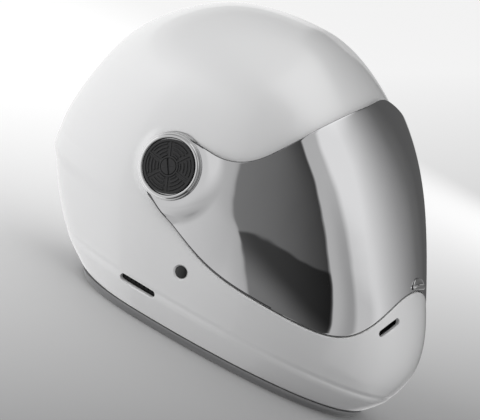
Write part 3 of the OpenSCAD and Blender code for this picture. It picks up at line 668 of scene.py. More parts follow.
def lensPoint(v, t, depth=0.0):
    lowPh, lowZ = edgeAt("lensLow", v)
    upPh, upZ = edgeAt("lensUp", v)
    ph, z = lowPh * (1 - t) + upPh * t, lowZ * (1 - t) + upZ * t
    front = 1 - 0.28 * (1 - smooth((np.abs(ph) - 6) / 30))
    base = 0.2 + hub["rise"] * smooth((np.abs(ph) - 74) / 16)  # the ear stands off the shell
    off = base + (hub["proud"] - base) * (1 - (1 - t) ** 2.6) * front
    p = pointAt(z, ph, off - depth)
    d = np.hypot(p[..., 1] - hub["y"], p[..., 2] - hub["z"])
    m = smooth((hub["lensFar"] - d) / (hub["lensFar"] - hub["lensNear"]))
    x = p[..., 0] * (1 - m) + np.where(v < 0, -1, 1) * (hub["planeX"] - depth) * m
    return np.stack([x, p[..., 1], p[..., 2]], -1)


def buildLens():
    n, r = lensSize["columns"], lensSize["round"]
    a = np.linspace(-1, 1, n)
    v = (np.sign(a) * np.abs(a) ** 0.9)[None, :]
    lowPh, lowZ = edgeAt("lensLow", v)
    upZ = edgeAt("lensUp", v)[1]
    height = np.maximum(upZ - lowZ, 20)
    edge = np.array([0, 0.06, 0.18, 0.4, 0.7, 1.0]) * r  # mm from the edge
    fill = np.linspace(0, 1, lensSize["rows"])[1:-1]
    lo, hi = r / height, 1 - r / height
    t = np.concatenate([edge[:, None] / height, lo + fill[:, None] * (hi - lo),
                        1 - edge[::-1, None] / height])
    near = np.minimum(t, 1 - t) * height
    k = 1 - np.clip(near / r, 0, 1)
    roll = r * (1 - np.sqrt(np.maximum(1 - k * k, 0)))
    v2 = np.broadcast_to(v, t.shape)
    outer = lensPoint(v2, t, roll)
    inner = lensPoint(v2, t, hub["lensT"] - roll * 0.7)
    pts = np.concatenate([outer, inner[::-1]])
    m = len(pts)
    faces, mats = [], []
    flat = pts.reshape(-1, 3)
    d = np.hypot(flat[:, 1] - hub["y"], flat[:, 2] - hub["z"]) + (flat[:, 1] < -60) * 100
    rows = len(outer)
    near = np.broadcast_to(near, t.shape)
    edgeShadeBand = 0.25 + 0.75 * smooth((np.abs(lowPh[0]) - 52) / 22)  # dark sawn edge, and past it a band of painted shade for the gap, wider at the ears
    for i in range(m):
        for j in range(n - 1):
            f = [i * n + j, i * n + j + 1, ((i + 1) % m) * n + j + 1, ((i + 1) % m) * n + j]
            if max(d[q] for q in f) < lensSize["trimR"]:
                continue
            faces.append(f)
            # faces near the edge take the dark inside colour: the sawn edge, and past it painted
            # shade of the gap
            mats.append(1 if rows <= i < m - 1 or near[min(i, rows - 1), j]
                        < edgeShadeBand[j] else 0)
    obj = makeObject("visorLens", toWorld(flat), faces, [mirrorCoat, lensInsideAndEdgeShade], mats, sharp=40)
    return obj


lens = buildLens()
t0, rH = hub["lensT"], hub["ringR"]
hubEnds = [lathe("lensHub", [[20.0, -t0], [rH - 0.4, -t0], [rH, -t0 + 0.4], [rH, -0.3],
                             [rH - 0.25, -0.03], [20.0, -0.03]], side, [mirrorCoat])
           for side in (-1, 1)]
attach(lens, "visor")
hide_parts("visor_lens")
for h in hubEnds:
    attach(h, "visor")
print("visor built", len(lens.data.polygons))

ring = {"top": 2.7}  # height of the bright ring over the lens
rD, top = hub["discR"], ring["top"]
ringProfile = [
    [hub["bossR"] + 0.4, -t0 - 0.1], [hub["bossR"] + 2.1, -t0 - 0.1], [hub["bossR"] + 2.1, 0.15],
    [rH - 0.15, 0.15], [rH, 0.35], [rH, 0.95], [rH - 0.12, 1.25], [rH - 0.4, 1.45],
    [rH - 1.0, 1.6], [rH - 1.25, 1.62], [rH - 1.5, 1.75], [rH - 1.9, 2.35], [rH - 2.2, 2.6],
    [rH - 2.6, top], [rD + 1.7, top], [rD + 1.35, top - 0.08], [rD + 1.0, top - 0.35],
    [rD + 0.55, 1.5], [rD + 0.5, 1.3], [rD + 0.5, 0.3], [hub["bossR"] + 0.4, 0.3]]
for side, word in ((-1, "Right"), (1, "Left")):
    low = word.lower()
    o = lathe("hubRing" + word, ringProfile, side, [brightRing], 200, sharp=50)
    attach(o, "visor")
    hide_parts("hub_ring_" + low)

disc = {"height": 2.35, "ribs": [8.9, 11.6, 14.3, 17.0], "ribW": 1.1, "ribH": 0.8,
        "spokes": [352, 52, 112, 172, 232, 292], "spokeW": 0.9, "dome": 0.35}


def buildDisc(name, side):
    nr, na = 84, 540
    r = np.linspace(6.45, hub["discR"] - 0.25, nr)
    a = np.linspace(0, 360, na, endpoint=False)
    rr, aa = np.meshgrid(r, a, indexing="ij")
    h = np.full(rr.shape, disc["height"]) + disc["dome"] * (1 - (rr / hub["discR"]) ** 2)
    gap = np.full(rr.shape, 1e9)
    for s in disc["spokes"]:
        da = (aa - s + 180) % 360 - 180
        gap = np.minimum(gap, np.abs(np.radians(da)) * rr)
    rib = np.zeros(rr.shape)
    for k, rc in enumerate(disc["ribs"]):
        w = 1 - smooth((np.abs(rr - rc) - disc["ribW"] / 2) / 0.22)
        keep = smooth((gap - 1.9 - 0.5 * (k % 2)) / 0.3)
        rib = np.maximum(rib, w * keep)
    spoke = 1 - smooth((gap - disc["spokeW"] / 2) / 0.22)
    rim = 1 - smooth((hub["discR"] - 1.7 - rr) / 0.3)
    core = 1 - smooth((rr - 7.6) / 0.3)
    raised = np.maximum.reduce([rib, spoke * 0.8, rim, core])
    h = h - disc["ribH"] + disc["ribH"] * raised
    dA = np.radians(aa)
    x = hub["planeX"] + 0.52 + h
    grid = np.stack([side * x, hub["y"] - rr * np.cos(dA), hub["z"] + rr * np.sin(dA)], -1)
    e = hub["discR"]
    a1 = np.radians(a)

    def circle(rad, height):
        return np.stack([np.full(na, side * (hub["planeX"] + 0.52 + height)),
                         hub["y"] - rad * np.cos(a1), hub["z"] + rad * np.sin(a1)], -1)[None]

    rows = np.concatenate([circle(6.4, 0.9), circle(6.4, h[0, 0] - 0.25), grid,
                           circle(e - 0.08, h[-1, 0] - 0.12), circle(e, h[-1, 0] - 0.35),
                           circle(e, 0), circle(3.3, 0), circle(3.3, 0.9), circle(6.4, 0.9)])
    return makeObject(name, toWorld(rows.reshape(-1, 3)), gridFaces(len(rows), na, wrap=True),
                      [discPlastic], sharp=50)


def buildLock(name, side):
    # slotted centre: round head with one slot and a fine raised line across it
    n, nr = 120, 40
    r = np.concatenate([[0.001], np.linspace(0.16, 5.75, nr), [5.9, 5.98]])
    a = np.radians(np.linspace(0, 360, n, endpoint=False))
    rr, aa = np.meshgrid(r, a, indexing="ij")
    y, z = rr * np.cos(aa), rr * np.sin(aa)
    q = math.radians(-33)
    u, w = y * math.cos(q) + z * math.sin(q), -y * math.sin(q) + z * math.cos(q)
    slot = (1 - smooth((np.abs(u) - 0.55) / 0.2)) * smooth((5.7 - np.abs(w)) / 0.25)
    line = (1 - smooth((np.abs(w) - 0.18) / 0.15)) * smooth((4.6 - np.abs(u)) / 0.3)
    h = 3.35 - 1.1 * slot + 0.16 * line * (1 - slot)
    h = h - 0.25 * smooth((rr - 5.7) / 0.3)
    grid = np.stack([side * (hub["planeX"] + h), hub["y"] + y, hub["z"] + z], -1)

    def circle(rad, height):
        return np.stack([np.full(n, side * (hub["planeX"] + height)), hub["y"] + rad * np.cos(a),
                         hub["z"] + rad * np.sin(a)], -1)[None]

    rows = np.concatenate([grid, circle(6.0, 2.9), circle(6.0, 1.5), circle(2.8, 1.5),
                           circle(2.8, -4.9), circle(0.01, -4.9)])
    return makeObject(name, toWorld(rows.reshape(-1, 3)), gridFaces(len(rows), n, wrap=True),
                      [discPlastic], sharp=45)


for side, word in ((-1, "Right"), (1, "Left")):
    low = word.lower()
    d = buildDisc("coverDisc" + word, side)
    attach(d, "helmet")
    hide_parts("cover_disc_" + low)
    k = buildLock("lockScrew" + word, side)
    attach(k, "lock_" + low)
    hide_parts("lock_screw_" + low)
print("hubs built")

tab = {"half": 13.5, "tall": 9.4, "lip": 3.2, "lipAt": 3.6}


def buildTab():
    # an arched finger lip: hollow above, a rolled edge standing out below
    lipAt, lip, tall = tab["lipAt"], tab["lip"], tab["tall"]
    prof = [(0.0, 0.05), (0.2, 0.9), (0.8, 1.5), (lipAt - 2.0, 2.1), (lipAt - 1.1, lip - 0.5),
            (lipAt - 0.4, lip), (lipAt + 0.2, lip), (lipAt + 0.6, lip - 0.5),
            (lipAt + 0.8, lip - 1.3), (lipAt + 1.2, 0.95), (lipAt + 2.4, 0.6),
            (tall - 1.4, 0.7), (tall - 0.7, 0.95), (tall - 0.2, 0.7), (tall, 0.05)]
    a, b = lensPoint(np.array([0.0, 0.0]), np.array([0.0, 0.08]))
    up = unit(b - a)
    out = np.array([0, -up[2], up[1]])
    turn = np.linspace(-90, 90, 61)
    rows = []
    for x in tab["half"] * np.sin(np.radians(turn)):
        w = abs(x) / (tab["half"] + 0.02)
        arch = max(1 - w ** 2.2, 0) ** (1 / 2.2)
        base = a + up * 0.5 + out * 0.05 + np.array([x, 0, 0])
        ring = [base + up * s * (0.1 + 0.9 * arch) + out * h * (0.12 + 0.88 * arch ** 0.8)
                for s, h in prof]
        ring += [base + up * s * (0.1 + 0.9 * arch) - out * 0.04 for s in (tall, tall * 0.5, 0.0)]
        rows.append(ring)
    pts, faces = closedLoft(np.array(rows))
    return makeObject("visorTab", toWorld(pts), faces, [brightRing], sharp=45)


tabPiece = buildTab()
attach(tabPiece, "visor")
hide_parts("visor_tab")

trimProfile = [(-4.9, 0.0), (-4.5, 0.06), (-4.2, 0.3), (-3.0, 1.4), (-1.7, 2.75), (-0.75, 4.3),
               (-0.3, 5.6), (-0.4, 6.05), (-0.8, 6.2), (-4.5, 6.2), (-5.2, 6.6), (-5.3, 11.0),
               (-5.8, 11.8), (-7.0, 11.9), (-7.7, 11.2), (-8.4, 3.0), (-7.9, 0.8), (-7.0, 0.0)]


def buildTrim():
    n = 360
    ph = np.linspace(0, 360, n, endpoint=False)
    z0 = 6.5
    u = np.full(n, float(uOfZ(z0)))
    nn = normalAt(u, ph)
    edge = surface(u, ph) + (creaseOff(np.full(n, z0)) + lipOff(z0, ph))[:, None] * nn
    h = unit(np.stack([nn[:, 0], nn[:, 1], np.zeros(n)], -1))
    tuck = smooth((np.abs((ph + 180) % 360 - 180) - 95) / 50)  # leans in more at the back
    rows = []
    for out, z in trimProfile:
        fold = 1.9 * (1 - z / 6.2) if out > -5 and z < 6.2 else 0.0
        p = edge + h * (out - fold * tuck)[:, None]
        p[:, 2] = z
        rows.append(p)
    rows.append(rows[0])
    pts = np.array(rows)
    return makeObject("edgeTrim", toWorld(pts.reshape(-1, 3)), gridFaces(len(rows), n, wrap=True),
                      [trimRubber], sharp=55)


trimPiece = buildTrim()
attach(trimPiece, "helmet")
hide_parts("edge_trim")


def buildGasket():
    n = 200
    v = np.linspace(-1, 1, n)
    lowPh, lowZ = edgeAt("portLow", v)
    upPh, upZ = edgeAt("portUp", v)
    ph = np.concatenate([lowPh[:-1], upPh[::-1][:-1]])
    z = np.concatenate([lowZ[:-1], upZ[::-1][:-1]])
    p = pointAt(z, ph)
    tangent = unit(np.roll(p, -3, 0) - np.roll(p, 3, 0))
    nn = normalAt(uOfZ(z), ph)
    inward = -np.cross(tangent, nn)
    rec = recessAt(z)
    rings = []
    for a in np.linspace(0, 2 * math.pi, 14, endpoint=False):
        across, deep = 1.7 + 1.35 * math.cos(a), -2.0 + 1.6 * math.sin(a)
        rings.append(p + inward * across + nn * (deep - rec)[:, None])
    rings.append(rings[0])
    return makeObject("portGasket", toWorld(np.array(rings).reshape(-1, 3)),
                      gridFaces(15, len(ph), wrap=True), [gasketBlackAndGapShade], sharp=70)


gasket = buildGasket()
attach(gasket, "helmet")
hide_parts("port_gasket")


rivet = {"height": 51.0, "angle": 84.0,  # where it sits; its levels are radius and depth
         "levels": [(2.8, -9.0), (2.8, -1.75), (4.8, -1.75), (4.8, -1.45), (4.68, -1.25),
                    (4.3, -0.98), (3.6, -0.72), (2.4, -0.46), (1.1, -0.33), (0.02, -0.3)]}


def buildRivet(name, side):
    rings = [levelRings(rivet["height"], rivet["angle"] * side, 2 * r, 2 * r, 0, [(0, d)], 64)[0]
             for r, d in rivet["levels"]]
    pts, faces = closedLoft(np.array(rings))
    return makeObject(name, toWorld(pts), faces, [rivetBlack], sharp=50)


for side, word in ((-1, "Right"), (1, "Left")):
    o = buildRivet("strapRivet" + word, side)
    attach(o, "helmet")
    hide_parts("strap_rivet_" + word.lower())
print("trim, gasket and rivets built")

pads = {"foam": 24.0, "thick": 11.0, "cheek": 24.0,
        "pressure": 4.0, "frames": 20, "slack": 0.05, "swell": 1.9}
foamLow = np.array([[0, 193], [20, 190], [40, 181], [60, 162], [72, 143], [82, 128], [100, 114],
                    [130, 84], [180, 50]], float)


clothPads = []


def holdForCloth(obj, held):
    # held points stay put, the cover between them fills out when the pads are blown up
    obj.vertex_groups.new(name="held").add([int(i) for i in held], 1.0, "REPLACE")
    clothPads.append(obj)


def puff(a, b, k):
    return (np.maximum(0, 1 - np.abs(2 * a - 1) ** k) ** 0.7
            * np.maximum(0, 1 - np.abs(2 * b - 1) ** k) ** 0.7)


def cushion(name, mapping, base, lip, rise, seams=(), nz=60, nb=90):
    # mapping turns 0..1 across and up into angle and height; seams are lines across b
    a, b = np.meshgrid(np.linspace(0, 1, nz), np.linspace(0, 1, nb), indexing="ij")
    ph, z = mapping(a, b)
    f = puff(a, b, 5)
    for at, axis in seams:
        c = b if axis == "b" else a
        f = f * (1 - 0.34 * np.exp(-((c - at) / 0.022) ** 2))
    back = pointAt(z, ph, -base - 0.8 * (1 - puff(a, b, 6)))
    face = pointAt(z, ph, -base - lip - rise * f)
    rows = np.concatenate([back.reshape(-1, 3), face.reshape(-1, 3)])
    k = nz * nb
    faces = gridFaces(nz, nb) + [q[::-1] for q in gridFaces(nz, nb, start=k)]
    edge = ([(0, j) for j in range(nb - 1)] + [(i, nb - 1) for i in range(nz - 1)]
            + [(nz - 1, j) for j in range(nb - 1, 0, -1)] + [(i, 0) for i in range(nz - 1, 0, -1)])
    idx = [i * nb + j for i, j in edge]
    n = len(idx)
    # the side wall bulges a little between back and face
    mid = (rows[idx] + rows[[q + k for q in idx]]) / 2
    centre = face.reshape(-1, 3).mean(0)
    mid = mid + unit(mid - centre) * 0.9
    pts = np.concatenate([rows, mid])
    for j in range(n):
        q, r = idx[j], idx[(j + 1) % n]
        m, s = 2 * k + j, 2 * k + (j + 1) % n
        faces += [[q, r, s, m], [m, s, r + k, q + k]]
    obj = makeObject(name, toWorld(pts), faces, [padKnit, padPiping], sharp=80)
    sewn = np.zeros(a.shape, bool)
    for at, axis in seams:
        sewn |= np.abs((b if axis == "b" else a) - at) < 0.6 / (nb if axis == "b" else nz)
    held = np.concatenate([np.arange(k), k + np.array(idx), k + np.flatnonzero(sewn.ravel()),
                           2 * k + np.arange(n)])
    holdForCloth(obj, held)
    # piping round the face edge
    loop = face.reshape(-1, 3)[idx]
    pipe = tube(name + "Piping", loop, 0.8, padPiping, closed=True)
    return obj, pipe


def tube(name, path, radius, mat, closed=False, sides=8):
    p = np.asarray(path, float)
    if closed:
        t = unit(np.roll(p, -1, 0) - np.roll(p, 1, 0))
    else:
        t = unit(np.gradient(p, axis=0))
    ref = np.tile([0.0, 0.0, 1.0], (len(p), 1))
    ref[np.abs(t[:, 2]) > 0.9] = [1.0, 0, 0]
    a = unit(np.cross(t, ref))
    b = np.cross(t, a)
    ang = np.linspace(0, 2 * math.pi, sides, endpoint=False)
    rings = p[:, None] + radius * (np.cos(ang)[None, :, None] * a[:, None]
                                   + np.sin(ang)[None, :, None] * b[:, None])
    if closed:
        rings = np.concatenate([rings, rings[:1]])
        return makeObject(name, toWorld(rings.reshape(-1, 3)),
                          gridFaces(len(rings), sides, wrap=True), [mat])
    pts, faces = closedLoft(rings)
    return makeObject(name, toWorld(pts), faces, [mat])


def settle(obj, pipe, node, fill=0.7):
    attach(obj, "helmet")
    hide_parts(node)
    if pipe:
        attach(pipe, "helmet")


def boxMap(p0, p1, z0, z1):
    return lambda a, b: (p0 + (p1 - p0) * b, z0 + (z1 - z0) * a)


padBase = form["wall"] + pads["foam"] + 1.4
rise = pads["thick"] - 3
settle(*cushion("browPad", boxMap(-52, 52, 196, 221), padBase - 0.3, 3, rise,
                [(0.33, "b"), (0.67, "b")]), "brow_pad")
settle(*cushion("rearPad", boxMap(138, 222, 84, 150), padBase, 3, rise,
                [(0.5, "b"), (0.25, "b"), (0.75, "b")]), "rear_pad")
for side, word in ((-1, "Right"), (1, "Left")):
    low = word.lower()
    settle(*cushion("templePad" + word, boxMap(80 * side, 128 * side, 150, 206), padBase, 3, rise,
                    [(0.5, "a")]), "temple_pad_" + low)

    def cheekMap(a, b, side=side):
        ph = 64 + 62 * b
        top = np.minimum(110, np.interp(ph, foamLow[:, 0], foamLow[:, 1]) - 2.5) - 2
        return side * ph, 19 * (1 - a) + top * a

    settle(*cushion("cheekPad" + word, cheekMap, 22.6, 5, pads["cheek"] - 5,
                    [(0.5, "b"), (0.62, "a")], nz=80, nb=80), "cheek_pad_" + low, 0.8)


def buildCrownPad():
    nu, na = 60, 180
    t = np.linspace(0, 1, nu)[:, None]
    ph = np.linspace(0, 360, na, endpoint=False)[None, :]
    u = uOfZ(226) * (1 - t) + 0.99 * t
    u, p = np.broadcast_arrays(u, ph)
    t2 = np.broadcast_to(t, u.shape)
    spoke = np.abs(np.cos(np.radians(3 * p))) ** 40 * smooth((0.85 - t2) * 4)
    body = smooth(t2 * 4.5)
    thick = 2.5 + (pads["thick"] - 2.5) * body * (1 - 0.36 * spoke)
    back = surface(u, p) - padBase * normalAt(u, p)
    face = surface(u, p) - (padBase + thick)[..., None] * normalAt(u, p)
    rows = np.concatenate([back[::-1], face])
    pts = np.concatenate([rows.reshape(-1, 3), [[0, -5, 252 - padBase],
                                                 [0, -5, 252 - padBase - pads["thick"]]]])
    n = len(rows)
    faces = gridFaces(n, na, wrap=True)
    faces += [[j, n * na, (j + 1) % na] for j in range(na)]
    faces += [[(n - 1) * na + j, (n - 1) * na + (j + 1) % na, n * na + 1] for j in range(na)]
    obj = makeObject("crownPad", toWorld(pts), faces, [padKnit], sharp=80)
    lines = (spoke > 0.6) & (t2 < 0.8) | (t2 < 0.04)
    holdForCloth(obj, np.concatenate([np.arange(nu * na), nu * na + np.flatnonzero(lines.ravel()),
                                      [2 * nu * na]]))
    return obj, tube("crownPadPiping", face[0], 0.8, padPiping, closed=True)


settle(*buildCrownPad(), "crown_pad")


def buildRoll():
    n, m = 120, 36
    j = np.linspace(0, 1, n)
    b = np.abs(2 * j - 1)
    e = 0.5 + 0.5 * np.maximum(1 - b ** 6, 0) ** 0.6
    e[0] = e[-1] = 0.36
    p = 133 + 94 * j
    u0 = float(uOfZ(6.5))
    u = np.full(n, u0)
    nn = normalAt(u, p)
    a = surface(u, p) + creaseOff(np.full(n, 6.5))[:, None] * nn
    h = unit(np.stack([nn[:, 0], nn[:, 1], np.zeros(n)], -1))
    c = a - h * (form["wall"] * 1.3 + 12.5)
    c[:, 2] = 17
    gather = 1 - 0.05 * np.exp(-(((j * 7) % 1 - 0.5) / 0.06) ** 2)
    ang = np.linspace(0, 2 * math.pi, m, endpoint=False)
    r = (9.2 * e * gather)[:, None]
    rings = (c[:, None] + h[:, None] * (r * np.cos(ang))[..., None]
             + np.array([0, 0, 1.0]) * (r * 1.18 * np.sin(ang))[..., None])
    pts, faces = closedLoft(rings)
    obj = makeObject("neckRoll", toWorld(pts), faces, [padKnit], sharp=80)
    tied = (np.abs((j * 7) % 1 - 0.5) < 0.03) | (j < 0.02) | (j > 0.98)
    resting = np.broadcast_to(np.cos(ang) > 0.2, (n, m)) | tied[:, None]
    holdForCloth(obj, np.concatenate([np.flatnonzero(resting.ravel()), [n * m, n * m + 1]]))
    return obj


settle(buildRoll(), None, "neck_roll", 0.75)


def blowUp():
    # every pad at once: cloth under a little pressure, moves capped, result kept in the mesh
    start = {}
    for obj in clothPads:
        flat = np.zeros(len(obj.data.vertices) * 3)
        obj.data.vertices.foreach_get("co", flat)
        start[obj] = flat.reshape(-1, 3)
        mod = obj.modifiers.new("cloth", "CLOTH")
        c = mod.settings
        c.quality, c.mass, c.bending_stiffness = 5, 0.3, 0.4
        c.use_pressure, c.uniform_pressure_force = True, pads["pressure"]
        c.effector_weights.gravity = 0
        c.vertex_group_mass = "held"
        c.shrink_min = -pads["slack"]
        mod.point_cache.frame_start, mod.point_cache.frame_end = 1, pads["frames"]
    scene = bpy.context.scene
    for f in range(1, pads["frames"] + 1):
        scene.frame_set(f)
    dg = bpy.context.evaluated_depsgraph_get()
    for obj in clothPads:
        mesh = obj.evaluated_get(dg).to_mesh()
        flat = np.zeros(len(mesh.vertices) * 3)
        mesh.vertices.foreach_get("co", flat)
        move = flat.reshape(-1, 3) - start[obj]
        far = np.linalg.norm(move, axis=1, keepdims=True) * 1000
        scale = pads["swell"] * np.tanh(far / pads["swell"]) / np.maximum(far, 1e-6)
        obj.modifiers.clear()
        obj.data.vertices.foreach_set("co", (start[obj] + move * scale).ravel())
        obj.data.update()
        print(obj.name, "filled out by up to %.2f mm" % (far * scale).max())
    scene.frame_set(1)


blowUp()
print("pads built")

strap = {"width": 25.0, "thick": 2.0, "loopZ": 8.4, "barX": 15.0, "loopR": 4.1,
         "loopSeams": (23.0, 31.0), "endSeams": (18.0, 21.5), "stitches": 9, "pitch": 2.4,
         "thread": 1.06}
rivetP = pointAt(rivet["height"], rivet["angle"])
rivetN = normalAt(uOfZ(rivet["height"]), rivet["angle"])


def webPath(xe):
    sa = rivetP + rivetN * (-form["wall"] - 4.3)
    st = np.array([-rivetN[2], rivetN[0]])
    p = np.array([sa[0], sa[2]])
    q = p - st * 20
    pts = [p + st * 9, p, q]
    for t in (0.12, 0.25, 0.37, 0.5, 0.62, 0.75, 0.87, 0.95):
        pts.append((1 - t) ** 2 * q + 2 * t * (1 - t) * np.array([86, 6.0])
                   + t * t * np.array([62, strap["loopZ"]]))
    pts += [np.array([58, strap["loopZ"]]), np.array([40, strap["loopZ"]]),
            np.array([xe, strap["loopZ"]])]
    return np.array(pts)


def resample(path, n):
    d = np.concatenate([[0], np.cumsum(np.linalg.norm(np.diff(path, axis=0), axis=1))])
    s = np.linspace(0, d[-1], n)
    return np.stack([np.interp(s, d, path[:, k]) for k in range(path.shape[1])], -1)


def buildStrap(name, side, path):
    q = resample(path, 150)
    for _ in range(3):
        q[1:-1] = q[1:-1] * 0.5 + (q[:-2] + q[2:]) * 0.25
    t = unit(np.gradient(q, axis=0))
    nrm = np.stack([-t[:, 1], t[:, 0]], -1)
    w, k = strap["width"] / 2, strap["thick"] / 2
    ys = np.concatenate([[-w, -w + 0.25, -w + 0.9], np.linspace(-w + 1.8, w - 1.8, 14),
                         [w - 0.9, w - 0.25, w]])
    section = [(y, k * min(1, 0.45 + 0.55 * smooth((w - abs(y)) / 0.9))) for y in ys]
    section += [(y, -h) for y, h in section[::-1]]
    rings = []
    for i in range(len(q)):
        rings.append([[side * (q[i, 0] + nrm[i, 0] * h), rivetP[1] + y, q[i, 1] + nrm[i, 1] * h]
                      for y, h in section])
    pts, faces = closedLoft(np.array(rings))
    return makeObject(name, toWorld(pts), faces, [webbingCloth], sharp=60)


def stitchRow(name, points, mat):
    # short thread runs along a line, each a flat bead
    rings, faces, base = [], [], 0
    for a, b, up in points:
        d = unit(b - a)
        side = np.cross(d, up)
        ring = []
        for s, r in ((0, 0.05), (0.2, 0.32), (0.8, 0.32), (1, 0.05)):
            c = a * (1 - s) + b * s
            for k in range(6):
                g = k * math.pi / 3
                ring.append(c + side * r * math.cos(g) + up * r * 0.6 * math.sin(g))
        rings += ring
        faces += [[base + i * 6 + j, base + i * 6 + (j + 1) % 6, base + (i + 1) * 6 + (j + 1) % 6,
                   base + (i + 1) * 6 + j] for i in range(3) for j in range(6)]
        faces += [[base + j for j in range(5, -1, -1)], [base + 18 + j for j in range(6)]]
        base += 24
    return makeObject(name, toWorld(np.array(rings)), faces, [mat])


leftStrap = buildStrap("chinStrapLeft", 1, webPath(14.0))
rightStrap = buildStrap("chinStrapRight", -1, webPath(strap["barX"] + 5.0))
ang = np.linspace(math.pi * 0.02, math.pi * 1.98, 60)
r0 = strap["loopR"] + strap["thick"] / 2
loopPath = np.stack([strap["barX"] + r0 * np.cos(ang), strap["loopZ"] + r0 * np.sin(ang)], -1)
strapLoop = buildStrap("strapLoop", -1, loopPath)
for o, node in ((leftStrap, "chin_strap_left"), (rightStrap, "chin_strap_right")):
    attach(o, "helmet")
    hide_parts(node)
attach(strapLoop, "helmet")
marks = []
# the loop is sewn through both sides, and the free end is sewn
for x in [-q for q in strap["loopSeams"]] + list(strap["endSeams"]):
    for i in range(strap["stitches"]):
        y = rivetP[1] + (i - (strap["stitches"] - 1) / 2) * strap["pitch"]
        for way in (1, -1):
            z = strap["loopZ"] + way * strap["thread"]
            marks.append((np.array([x, y - 0.9, z]), np.array([x, y + 0.9, z]),
                          np.array([0, 0, float(way)])))
stitches = stitchRow("strapStitches", marks, threadGrey)
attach(stitches, "helmet")
print("strap built")

# the CAD pieces that stay get their own finishes
finishes = {
    "crown_foam": foamBeads, "chin_foam": foamBeads, "cheek_foam_right": foamBeads,
    "cheek_foam_left": foamBeads, "base_plate_right": platePlastic,
    "base_plate_left": platePlastic, "click_spring_right": steel, "click_spring_left": steel,
    "plate_screw_right_front": steel, "plate_screw_right_rear": steel,
    "plate_screw_left_front": steel, "plate_screw_left_rear": steel,
    "anchor_plate_right": steel, "anchor_plate_left": steel, "d_ring_upper": steel,
    "d_ring_lower": steel, "vent_mesh_right": meshPlastic, "vent_mesh_left": meshPlastic,
    "side_mesh_right": meshPlastic, "side_mesh_left": meshPlastic,
}
for node, mat in finishes.items():
    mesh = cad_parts[node].data
    mesh.materials.clear()
    mesh.materials.append(mat)

cam = {"azimuth": -70.227, "elevation": 8.257, "roll": 26.798, "distance": 1.7,
       "target": (0.00019, 0.01139, 0.09684), "pixels": 2171.9, "sensor": 36.0}
az, el, roll = (math.radians(cam[k]) for k in ("azimuth", "elevation", "roll"))
back = Vector((math.sin(az) * math.cos(el), -math.cos(az) * math.cos(el), math.sin(el)))
right = Vector((math.cos(az), math.sin(az), 0))
upward = back.cross(right)
imageRight = right * math.cos(roll) + upward * math.sin(roll)
imageUp = upward * math.cos(roll) - right * math.sin(roll)
cameraData = bpy.data.cameras.new("camera")
camera = bpy.data.objects.new("camera", cameraData)
bpy.context.scene.collection.objects.link(camera)
camera.location = Vector(cam["target"]) + back * cam["distance"]
rotation = Matrix((imageRight, imageUp, back)).transposed()
camera.rotation_mode = "QUATERNION"
camera.rotation_quaternion = rotation.to_quaternion()
cameraData.sensor_fit = "HORIZONTAL"
cameraData.sensor_width = cam["sensor"]
cameraData.lens = cam["pixels"] * cam["sensor"] / 480
cameraData.clip_end = 50
bpy.context.scene.camera = camera

studio = {
    "floor": 60.0, "fan": (-1.861, 0.0676), "floorPale": 0.93, "floorGrey": 0.30,
    "bounce": (0.42, 0.42, 0.425), "cameraLift": 0.08,
    "world": 0.88, "boxGain": 0.38,
    # what gloss sees all round: each card's edges in degrees from the front, and how bright
    "rearCard": ((113, 0.6), (180, 0.75), (240, 0.75), (268.5, 0.45)),
    "darkCard": ((-91, 0.2), (-70, 0.15), (-50, 0.08), (-38.5, 0.05)),
    "stripCard": ((-37, 0.5), (-18, 0.5)),
    "frontCard": ((-13, 0.85), (5, 0.85), (45, 0.45), (75, 0.15)),
    "sideCard": ((85, 0.1), (108, 0.1)),
    "overhead": 1.0, "overFrom": (50, 66), "rearDim": 0.5, "rearFrom": (22, 36),
    "floorSlope": 0.56, "floorStart": -22, "floorDim": 0.72, "footTone": 0.5, "footDim": 0.42,
    "windowTurn": 18, "windowHalf": (60, 62), "windowTop": (17, 21),
    "frontBox": 13, "sideBox": 21,
}


def mathNode(tree, operation, a, b=None, c=None, clamp=False):
    n = tree.nodes.new("ShaderNodeMath")
    n.operation, n.use_clamp = operation, clamp
    for k, value in enumerate((a, b, c)):
        if isinstance(value, bpy.types.NodeSocket):
            tree.links.new(value, n.inputs[k])
        elif value is not None:
            n.inputs[k].default_value = value
    return n.outputs[0]


def ease(tree, value, low, high):
    n = addNode(tree, "ShaderNodeMapRange", {"Value": value, "From Min": low, "From Max": high})
    n.interpolation_type = "SMOOTHSTEP"
    return n.outputs["Result"]


